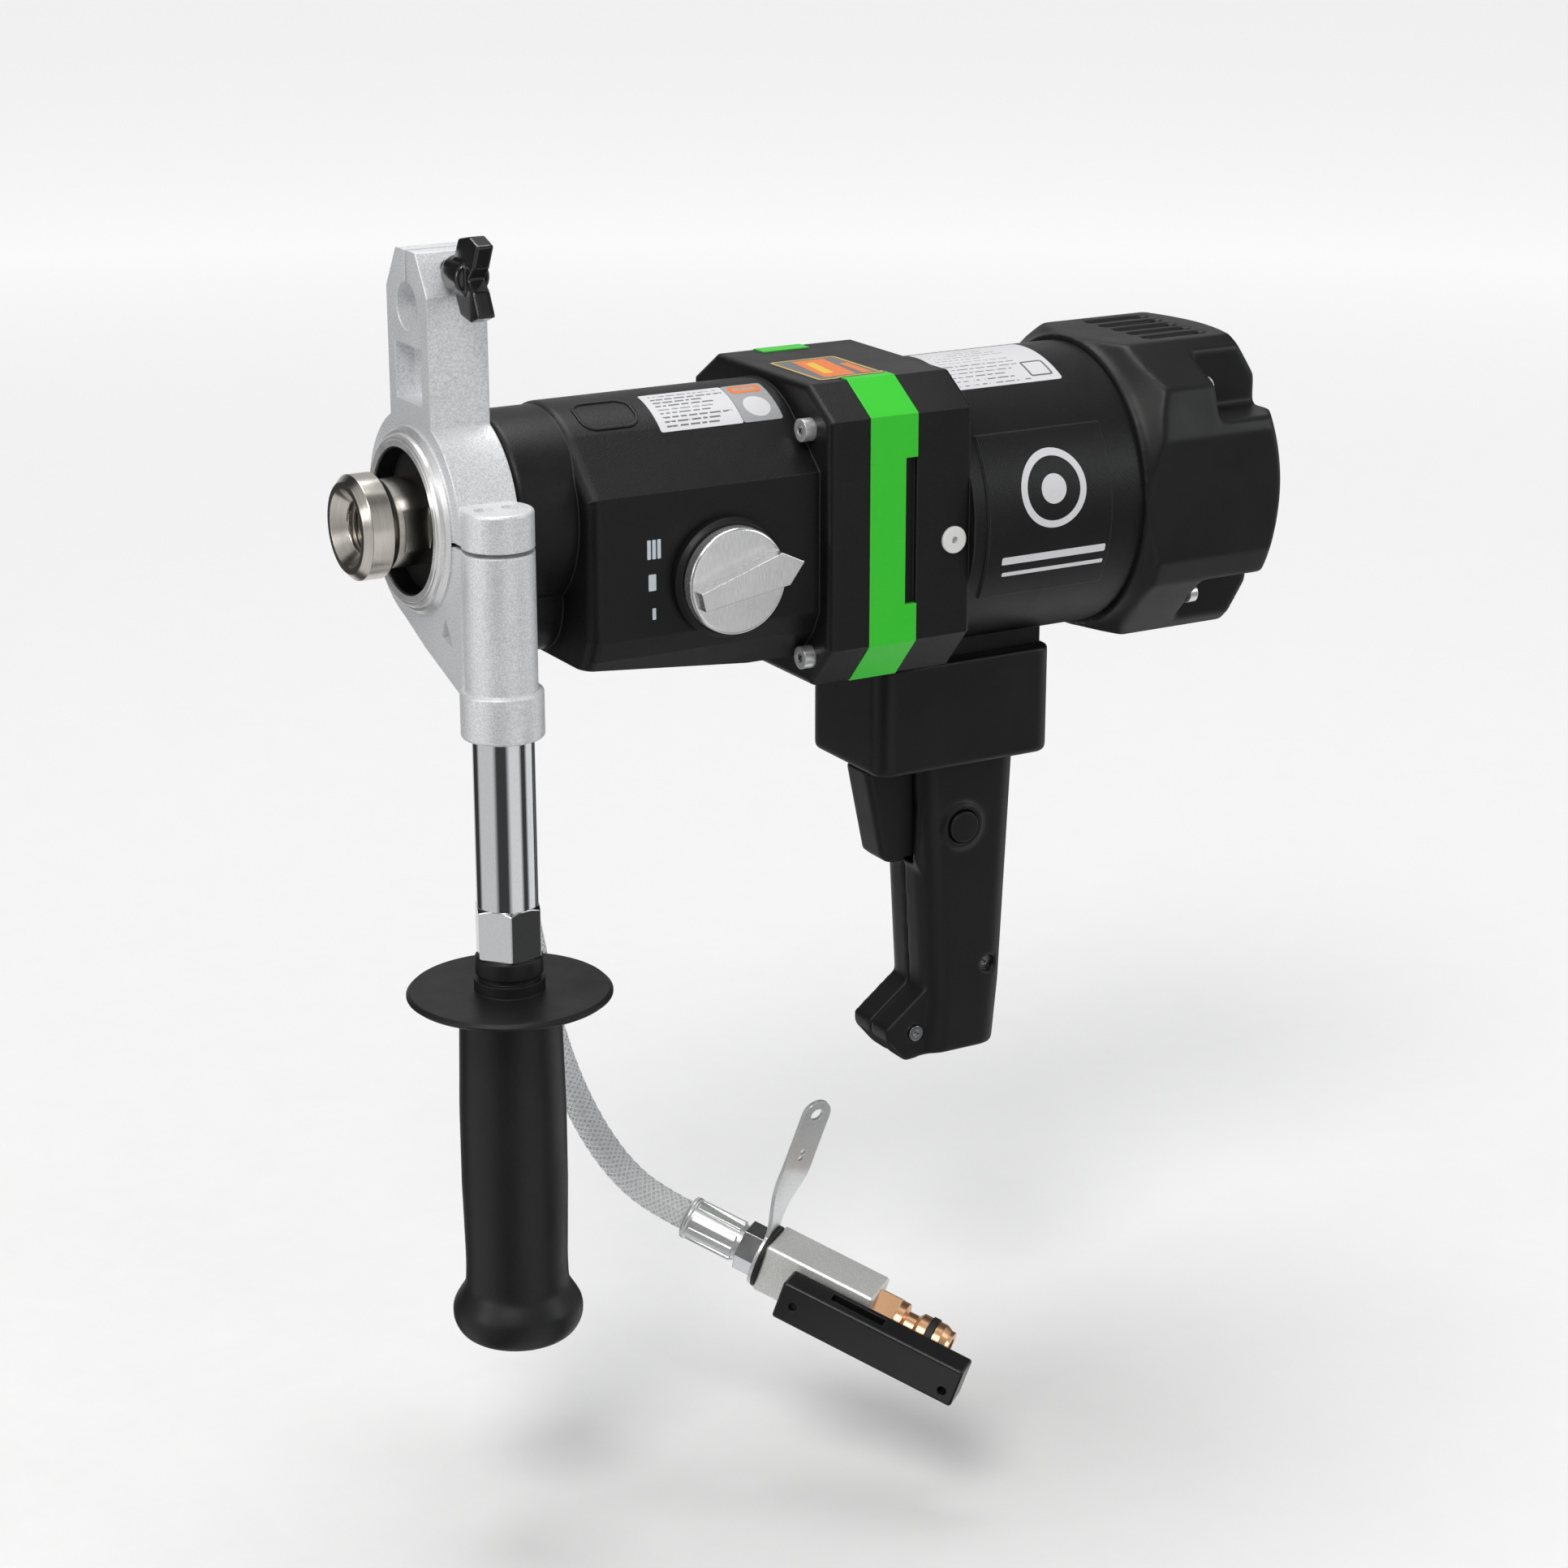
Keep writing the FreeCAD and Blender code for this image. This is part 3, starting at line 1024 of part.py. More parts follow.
def retaining_strap():
    """Ring under the nut with a long upright leaf, to hang the hose end by."""
    x0 = FERRULE_LEN + NUT_LEN
    ring = xcyl(12.2, x0, x0 + STRAP_T)
    tip_z = STRAP_LEN - STRAP_W / 2
    leaf = block(x0, x0 + STRAP_T, -STRAP_W / 2, STRAP_W / 2, 4, tip_z)
    tip = xcyl(STRAP_W / 2, x0, x0 + STRAP_T, 0, tip_z)
    body = fuse([ring, leaf, tip]).cut(xcyl(5, x0 - 1, x0 + 3))
    body = body.cut(xcyl(2.6, x0 - 1, x0 + 3, 0, tip_z))
    return on_valve(body.cut(xcyl(1.4, x0 - 1, x0 + 3, 0, tip_z - 19)))


def sealing_washer():
    return on_valve(xring(12.6, 5, VALVE_X - WASHER_T, VALVE_X))


def valve_body():
    h = VALVE_HALF
    body = block(VALVE_X, VALVE_X + VALVE_LEN, -h, h, -h, h)
    body = body.makeChamfer(0.8, body.Edges)
    body = body.fuse(ycyl(5.5, -h - 1.5, -h + 2, PIVOT_X, 0))
    body = body.cut(xcyl(FLOW_R, VALVE_X - 1, VALVE_X + VALVE_LEN + 1))
    ball_room = Part.makeSphere(BALL_R + 0.1, V(PIVOT_X, 0, 0))
    body = body.cut(ball_room)
    return on_valve(body.cut(ycyl(STEM_R + RUN, -h - 3, 0, PIVOT_X, 0)))


def valve_ball():
    """Ball and stem in one: the stem comes out on the lever's side."""
    ball = Part.makeSphere(BALL_R, V(PIVOT_X, 0, 0)).cut(xcyl(FLOW_R, PIVOT_X - 10, PIVOT_X + 10))
    stem = ycyl(STEM_R, -VALVE_HALF - 4, -BALL_R + 1.2, PIVOT_X, 0)
    return on_valve(ball.fuse(stem))


def valve_lever():
    x0 = PIVOT_X - LEVER_END
    y = -LEVER_OFF
    bar = block(x0, x0 + LEVER_LEN, y - LEVER_W / 2, y + LEVER_W / 2, -LEVER_H / 2, LEVER_H / 2)
    bar = bar.makeFillet(1.2, bar.Edges)
    bar = bar.cut(block(x0 + 18, x0 + 40, y - 2, y + 3, LEVER_H / 2 - 6, LEVER_H / 2 + 1))
    bar = bar.cut(ycyl(STEM_R, y, y + LEVER_W / 2 + 1, PIVOT_X, 0))
    bar = bar.cut(ycyl(LEVER_SCREW_R, y - LEVER_W / 2 - 1, y + 1, PIVOT_X, 0))
    return on_valve(bar.cut(ycyl(1.8, y - LEVER_W, y + LEVER_W, x0 + LEVER_LEN - 5, -3)))


def lever_screw():
    y = -LEVER_OFF - LEVER_W / 2
    return on_valve(ycyl(LEVER_SCREW_R, y + 1.5, -VALVE_HALF - 6, PIVOT_X, 0))


def quick_plug():
    """Brass adapter with a hexagon and a grooved plug for a hose coupling."""
    x0 = VALVE_X + VALVE_LEN
    hexa = hexagon_x(17, x0, x0 + 9, turn=30)
    plug = lathe_x([(x0 + 9, 0), (x0 + 9, 8.4), (x0 + 12, 8.4), (x0 + 13, 5.8), (x0 + 17, 5.8),
                    (x0 + 18.5, 7.6), (x0 + 22, 7.6), (x0 + 22, 6.2), (x0 + 25, 6.2),
                    (x0 + 25, 7.6), (x0 + 28, 7.6), (x0 + 30.5, 6.4), (x0 + 32, 6.4), (x0 + 32, 0)])
    return on_valve(hexa.fuse(plug).cut(xcyl(FLOW_R, x0 - 1, x0 + 40)))


def plug_o_ring():
    x0 = VALVE_X + VALVE_LEN
    return on_valve(xring(8.2, 6.2, x0 + 22.2, x0 + 24.8))


NODES = [
    spindle, spindle_gear, shift_collar, layshaft, layshaft_wheel,
    gear_housing, casing_screws, spindle_front_bearing, spindle_rear_bearing,
    spindle_seals, layshaft_bearings, mid_bearing_plate, rear_bearing_plate,
    detent_ring, shift_knob, knob_shaft, fork_rail, shift_fork,
    clamp_bracket, wing_screw, handle_stud, handle_tube, handle_hex, hand_guard,
    handle_grip, green_band, motor_housing, flange_plug, rear_cover, stator,
    field_coils, armature_shaft, armature_core, armature_windings, commutator, cooling_fan,
    armature_bearings, brush_carrier, carbon_brushes,
    electronics_box, control_module, grip_shell_left, grip_shell_right, grip_screws, trigger,
    switch_module, lock_button, cord_gland, water_inlet, water_hose,
]
VALVE_NODES = [hose_ferrules, hose_nut, retaining_strap, sealing_washer, valve_body, valve_ball,
               valve_lever, lever_screw, quick_plug, plug_o_ring]


def main():
    os.makedirs("parts", exist_ok=True)
    for maker in NODES + VALVE_NODES:
        shape = maker()
        if shape.isNull() or not shape.isValid() or not shape.Solids:
            raise SystemExit("%s is not a sound solid" % maker.__name__)
        if len(shape.Solids) == 1:
            shape = shape.Solids[0]
        shape.exportStep("parts/%s.step" % maker.__name__)
        print("%-24s solids %2d  volume %10.1f" % (maker.__name__, len(shape.Solids), shape.Volume))


main()
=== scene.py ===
import json
import math
import random

import bmesh
import bpy
from mathutils import Matrix, Vector
from mathutils.bvhtree import BVHTree


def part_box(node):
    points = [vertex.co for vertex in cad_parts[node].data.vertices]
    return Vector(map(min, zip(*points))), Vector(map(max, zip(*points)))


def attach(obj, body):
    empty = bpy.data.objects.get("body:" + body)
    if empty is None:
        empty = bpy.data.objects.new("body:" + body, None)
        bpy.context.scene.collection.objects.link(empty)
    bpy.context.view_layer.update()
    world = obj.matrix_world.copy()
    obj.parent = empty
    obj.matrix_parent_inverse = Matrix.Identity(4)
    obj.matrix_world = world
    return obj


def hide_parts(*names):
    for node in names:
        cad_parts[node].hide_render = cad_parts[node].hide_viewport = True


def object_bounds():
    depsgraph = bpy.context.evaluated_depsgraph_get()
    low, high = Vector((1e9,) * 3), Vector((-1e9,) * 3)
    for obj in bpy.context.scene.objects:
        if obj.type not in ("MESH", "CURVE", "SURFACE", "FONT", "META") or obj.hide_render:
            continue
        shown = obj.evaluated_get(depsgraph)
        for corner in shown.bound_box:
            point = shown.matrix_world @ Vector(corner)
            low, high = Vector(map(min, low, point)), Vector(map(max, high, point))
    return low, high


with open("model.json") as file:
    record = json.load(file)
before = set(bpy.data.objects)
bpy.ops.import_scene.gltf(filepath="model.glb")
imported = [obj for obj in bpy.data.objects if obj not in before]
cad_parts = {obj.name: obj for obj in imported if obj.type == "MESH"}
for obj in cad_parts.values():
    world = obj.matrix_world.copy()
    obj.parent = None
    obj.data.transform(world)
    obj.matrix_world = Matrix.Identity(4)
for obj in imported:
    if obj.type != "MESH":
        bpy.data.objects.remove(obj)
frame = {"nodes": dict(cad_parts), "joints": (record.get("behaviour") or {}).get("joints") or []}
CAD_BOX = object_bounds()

bl_info = {
    "name": "Core drill finishes",
    "version": (1, 0, 0),
    "blender": (4, 5, 0),
    "location": "3D View > Sidebar > Core drill",
    "description": "Materials, fine parts, hose and studio for a hand-held wet core drill",
    "category": "Object",
}

MM = 0.001

NODES = frame["nodes"]
# The height of the motor's axis; the spindle's axis is X itself.
MOTOR_Z = next(j for j in frame["joints"] if j["name"] == "armature_turn")["pos_m"][2]
GEARBOX_R, MOTOR_R = 37 * MM, 55 * MM
# An X between the front and the rear casing screws.
BETWEEN_SCREWS = 0.2

# The hose's centre line in metres: the control points of its CAD tube.
HOSE_ROUTE = [
    (0.0440, 0.0460, -0.0500), (0.0440, 0.0460, -0.0760), (0.0476, 0.0468, -0.1030),
    (0.0526, 0.0460, -0.1300), (0.0568, 0.0430, -0.1575), (0.0594, 0.0375, -0.1850),
    (0.0614, 0.0300, -0.2105), (0.0644, 0.0205, -0.2325), (0.0692, 0.0084, -0.2514),
    (0.0754, -0.0044, -0.2655), (0.0831, -0.0169, -0.2741), (0.0920, -0.0280, -0.2790),
]


# ---- what a user would change ------------------------------------------------------------------
def colour_property(name, description, value):
    return bpy.props.FloatVectorProperty(
        name=name, description=description, subtype="COLOR", size=3, min=0, max=1, default=value)


def length_property(name, description, value):
    return bpy.props.FloatProperty(
        name=name, description=description, unit="LENGTH", min=0, default=value, precision=5)


class DrillColours(bpy.types.PropertyGroup):
    casting: colour_property("Castings", "Black coat of the gearbox and motor",
                             (0.0065, 0.0065, 0.007))
    moulding: colour_property("Mouldings", "Black plastic of covers and grip",
                              (0.0075, 0.0075, 0.008))
    band: colour_property("Band", "Coloured band round the motor flange", (0.030, 0.60, 0.020))
    bracket: colour_property("Bracket", "Blasted aluminium casting", (0.80, 0.81, 0.83))
    accent: colour_property("Accent", "Warm patch on the stickers", (0.85, 0.20, 0.02))
    paper: colour_property("Stickers", "Pale sticker stock", (0.72, 0.72, 0.74))
    braid: colour_property("Braid", "Braided hose cover", (0.93, 0.94, 0.95))


class DrillSizes(bpy.types.PropertyGroup):
    hose_diameter: length_property("Hose", "Outer diameter of the braided hose", 12 * MM)
    braid_pitch: length_property("Braid pitch", "Length of one turn of a strand", 26 * MM)
    braid_strands: bpy.props.IntProperty(
        name="Strands", description="Strands each way round the hose", default=12, min=4, max=20)
    strand_width: length_property("Strand width", "Width of a flat braid strand", 1.35 * MM)
    sticker_thickness: length_property("Sticker", "Thickness of the stickers", 0.16 * MM)
    thread_pitch: length_property("Thread pitch", "Pitch of the socket's thread", 1.814 * MM)
    edge_radius: length_property("Edge radius", "Softness of cast and moulded edges", 0.8 * MM)


# ---- shader groups -----------------------------------------------------------------------------
def new_tree(name, kind, inputs, outputs):
    """An empty node tree; inputs are (name, socket type, default) and outputs (name, type)."""
    tree = bpy.data.node_groups.new(name, kind)
    for label, kind, value in inputs:
        made = tree.interface.new_socket(label, in_out="INPUT", socket_type=kind)
        if value is not None:
            made.default_value = value
    for label, kind in outputs:
        tree.interface.new_socket(label, in_out="OUTPUT", socket_type=kind)
    return tree, tree.nodes.new("NodeGroupInput"), tree.nodes.new("NodeGroupOutput")


def add_node(tree, kind, links=None, **settings):
    """A node with its settings, and its inputs linked or set by name or number."""
    node = tree.nodes.new(kind)
    for key, value in settings.items():
        setattr(node, key, value)
    for key, value in (links or {}).items():
        if isinstance(value, bpy.types.NodeSocket):
            tree.links.new(value, node.inputs[key])
        else:
            node.inputs[key].default_value = value
    return node


def rounded_edge_group():
    """Shading normal that rounds the edges, and a mask of where they are."""
    tree, enter, leave = new_tree(
        "Rounded edge", "ShaderNodeTree", [("Radius", "NodeSocketFloat", 0.0008)],
        [("Normal", "NodeSocketVector"), ("Edge", "NodeSocketFloat")])
    bevel = add_node(tree, "ShaderNodeBevel", {"Radius": enter.outputs["Radius"]}, samples=6)
    face = add_node(tree, "ShaderNodeNewGeometry")
    dot = add_node(tree, "ShaderNodeVectorMath",
                   {0: bevel.outputs["Normal"], 1: face.outputs["Normal"]}, operation="DOT_PRODUCT")
    edge = add_node(tree, "ShaderNodeMapRange", {
        "Value": dot.outputs["Value"], "From Min": 0.995, "From Max": 0.86})
    tree.links.new(bevel.outputs["Normal"], leave.inputs["Normal"])
    tree.links.new(edge.outputs["Result"], leave.inputs["Edge"])
    return tree


def bumps_out(tree, enter, leave, noise):
    """Bend the group's normal by a noise and put both out."""
    bump = add_node(tree, "ShaderNodeBump", {
        "Strength": 1.0, "Distance": enter.outputs["Depth"], "Height": noise.outputs["Fac"],
        "Normal": enter.outputs["Normal"]})
    tree.links.new(bump.outputs["Normal"], leave.inputs["Normal"])
    tree.links.new(noise.outputs["Fac"], leave.inputs["Height"])
    return tree


def grain_group():
    """Fine isotropic grain, such as a powder coat or a blasted casting."""
    tree, enter, leave = new_tree(
        "Fine grain", "ShaderNodeTree",
        [("Scale", "NodeSocketFloat", 2500.0), ("Depth", "NodeSocketFloat", 0.00004),
         ("Normal", "NodeSocketVector", None)],
        [("Normal", "NodeSocketVector"), ("Height", "NodeSocketFloat")])
    place = add_node(tree, "ShaderNodeTexCoord")
    noise = add_node(tree, "ShaderNodeTexNoise", {
        "Vector": place.outputs["Object"], "Scale": enter.outputs["Scale"], "Detail": 3.0,
        "Roughness": 0.6})
    return bumps_out(tree, enter, leave, noise)


def turned_group():
    """Fine lines that run round an axis, or straight across one direction, as tool marks do."""
    tree, enter, leave = new_tree(
        "Tool marks", "ShaderNodeTree",
        [("Density", "NodeSocketVector", (9000.0, 40.0, 40.0)),
         ("Depth", "NodeSocketFloat", 0.000006), ("Normal", "NodeSocketVector", None)],
        [("Normal", "NodeSocketVector"), ("Height", "NodeSocketFloat")])
    place = add_node(tree, "ShaderNodeTexCoord")
    stretch = add_node(tree, "ShaderNodeVectorMath", {
        0: place.outputs["Object"], 1: enter.outputs["Density"]}, operation="MULTIPLY")
    noise = add_node(tree, "ShaderNodeTexNoise", {
        "Vector": stretch.outputs["Vector"], "Scale": 1.0, "Detail": 2.0})
    return bumps_out(tree, enter, leave, noise)


def handling_group():
    """Roughness that varies softly, as on a surface that is handled."""
    tree, enter, leave = new_tree(
        "Handling", "ShaderNodeTree",
        [("Low", "NodeSocketFloat", 0.3), ("High", "NodeSocketFloat", 0.5)],
        [("Roughness", "NodeSocketFloat")])
    place = add_node(tree, "ShaderNodeTexCoord")
    noise = add_node(tree, "ShaderNodeTexNoise", {
        "Vector": place.outputs["Object"], "Scale": 38.0, "Detail": 5.0, "Roughness": 0.65})
    ramp = add_node(tree, "ShaderNodeMapRange", {
        "Value": noise.outputs["Fac"], "From Min": 0.3, "From Max": 0.7,
        "To Min": enter.outputs["Low"], "To Max": enter.outputs["High"]})
    tree.links.new(ramp.outputs["Result"], leave.inputs["Roughness"])
    return tree


GROUPS = {}


def group_node(tree, name, links=None):
    makers = {"edge": rounded_edge_group, "grain": grain_group, "turned": turned_group,
              "handling": handling_group}
    if name not in GROUPS:
        GROUPS[name] = makers[name]()
    return add_node(tree, "ShaderNodeGroup", links, node_tree=GROUPS[name])


def finish(name, colour, rough, metal=0.0, grain=None, turned=None, edge=0.0, wear=None,
           mottle=0.0, **sockets):
    """A material: colour with soft mottling and worn edges, uneven roughness, grain or tool marks.

    rough is (low, high), grain (scale, depth), turned (density, depth), edge the rounding radius,
    wear (colour, amount), and sockets are other values of the shader.
    """
    made = bpy.data.materials.new(name)
    made.use_nodes = True
    tree = made.node_tree
    shader = tree.nodes["Principled BSDF"]
    shader.inputs["Base Color"].default_value = (*colour, 1)
    shader.inputs["Metallic"].default_value = metal
    for label, value in sockets.items():
        shader.inputs[label.replace("_", " ")].default_value = value
    normal, mask, tone = None, None, None
    if edge:
        rounding = group_node(tree, "edge", {"Radius": edge})
        normal, mask = rounding.outputs["Normal"], rounding.outputs["Edge"]
    for group, size_label, values in (("turned", "Density", turned), ("grain", "Scale", grain)):
        if values:
            bumps = group_node(tree, group, {size_label: values[0], "Depth": values[1]})
            if normal:
                tree.links.new(normal, bumps.inputs["Normal"])
            normal, tone = bumps.outputs["Normal"], bumps.outputs["Height"]
    if normal:
        tree.links.new(normal, shader.inputs["Normal"])
    handled = group_node(tree, "handling", {"Low": rough[0], "High": rough[1]})
    tree.links.new(handled.outputs["Roughness"], shader.inputs["Roughness"])
    shade = None
    if mottle and tone:
        light = add_node(tree, "ShaderNodeMapRange", {
            "Value": tone, "From Min": 0.3, "From Max": 0.7, "To Min": 1 - mottle,
            "To Max": 1 + mottle})
        mixed = add_node(tree, "ShaderNodeVectorMath", {
            0: tuple(colour), 1: light.outputs["Result"]}, operation="MULTIPLY")
        shade = mixed.outputs["Vector"]
    if wear and mask:
        rub = add_node(tree, "ShaderNodeMath", {0: mask, 1: wear[1]}, operation="MULTIPLY")
        blend = add_node(tree, "ShaderNodeMix", {
            "Factor": rub.outputs["Value"], "B": (*wear[0], 1)}, data_type="RGBA")
        if shade:
            tree.links.new(shade, blend.inputs["A"])
        else:
            blend.inputs["A"].default_value = (*colour, 1)
        shade = blend.outputs["Result"]
    if shade:
        tree.links.new(shade, shader.inputs["Base Color"])
    return made


def dress(nodes, material):
    """Give CAD nodes a material in place of their own."""
    for name in nodes:
        slots = NODES[name].data.materials
        slots.clear()
        slots.append(material)


# ---- mesh makers -------------------------------------------------------------------------------
def linked(name, data):
    """A new object in the scene."""
    made = bpy.data.objects.new(name, data)
    bpy.context.scene.collection.objects.link(made)
    return made


def evaluated_mesh(thing):
    """A plain mesh of an object as its modifiers or its bevel make it."""
    graph = bpy.context.evaluated_depsgraph_get()
    graph.update()
    return bpy.data.meshes.new_from_object(thing.evaluated_get(graph))


def keep_mesh(name, mesh, finish_name, body, slot):
    """Turn a mesh into a finished piece that rides on a body."""
    mesh.materials.clear()
    mesh.materials.append(FINISHES[finish_name])
    piece = linked(name, mesh)
    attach(piece, body)
    return piece


def mesh_of(name, verts, faces, smooth=True):
    """A mesh from its points and faces, shaded smooth or flat."""
    mesh = bpy.data.meshes.new(name)
    mesh.from_pydata([tuple(v) for v in verts], [], faces)
    mesh.update()
    mesh.polygons.foreach_set("use_smooth", [smooth] * len(mesh.polygons))
    return mesh


def tidy_normals(mesh):
    """Join points that meet and turn the faces outwards."""
    work = bmesh.new()
    work.from_mesh(mesh)
    bmesh.ops.remove_doubles(work, verts=work.verts, dist=1e-7)
    bmesh.ops.recalc_face_normals(work, faces=work.faces)
    work.to_mesh(mesh)
    work.free()
    return mesh


def rounded_outline(u0, u1, v0, v1, r, corner_steps=6, edge_steps=10):
    """Points round a rounded rectangle, with points along its sides so that it can be bent."""
    points = []
    corners = [(u1 - r, v1 - r, 0), (u0 + r, v1 - r, 90), (u0 + r, v0 + r, 180),
               (u1 - r, v0 + r, 270)]
    for n, (cu, cv, start) in enumerate(corners):
        for k in range(corner_steps + 1):
            a = math.radians(start + 90 * k / corner_steps)
            points.append((cu + r * math.cos(a), cv + r * math.sin(a)))
        nu, nv, nstart = corners[(n + 1) % 4]
        a = math.radians(nstart)
        target = (nu + r * math.cos(a), nv + r * math.sin(a))
        here = points[-1]
        points += [(here[0] + (target[0] - here[0]) * k / edge_steps,
                    here[1] + (target[1] - here[1]) * k / edge_steps) for k in range(1, edge_steps)]
    return points


def sheet_mesh(name, outlines, place, low, high):
    """Thin plates between two heights above a surface: each outline is filled, cut and bent."""
    verts, faces = [], []
    for outline in outlines:
        work = bmesh.new()
        work.faces.new([work.verts.new((u, v, 0)) for u, v in outline])
        bmesh.ops.triangulate(work, faces=work.faces[:])
        us = [u for u, _ in outline]
        vs = [v for _, v in outline]
        for value, low_end, high_end, axis in ((0, min(us), max(us), (1, 0, 0)),
                                               (1, min(vs), max(vs), (0, 1, 0))):
            parts = max(1, int((high_end - low_end) / (2.5 * MM)))
            for k in range(1, parts):
                at = [0, 0, 0]
                at[value] = low_end + (high_end - low_end) * k / parts
                bmesh.ops.bisect_plane(work, geom=work.verts[:] + work.edges[:] + work.faces[:],
                                       plane_co=at, plane_no=axis, dist=1e-7)
        work.verts.index_update()
        base, count = len(verts), len(work.verts)
        verts += [place(v.co.x, v.co.y, high) for v in work.verts]
        verts += [place(v.co.x, v.co.y, low) for v in work.verts]
        for face in work.faces:
            ring = [base + v.index for v in face.verts]
            faces += [ring, [i + count for i in reversed(ring)]]
        for edge in work.edges:
            if len(edge.link_faces) == 1:
                a, b = (base + v.index for v in edge.verts)
                faces.append((a, b, b + count, a + count))
        work.free()
    return tidy_normals(mesh_of(name, verts, faces, smooth=False))


# ---- materials ---------------------------------------------------------------------------------
FINISHES = {}


def ink(name, colour, rough=(0.30, 0.42), mottle=0.06):
    """Print or sticker stock."""
    return finish(name, colour, rough, grain=(3500, 0.000008), mottle=mottle)


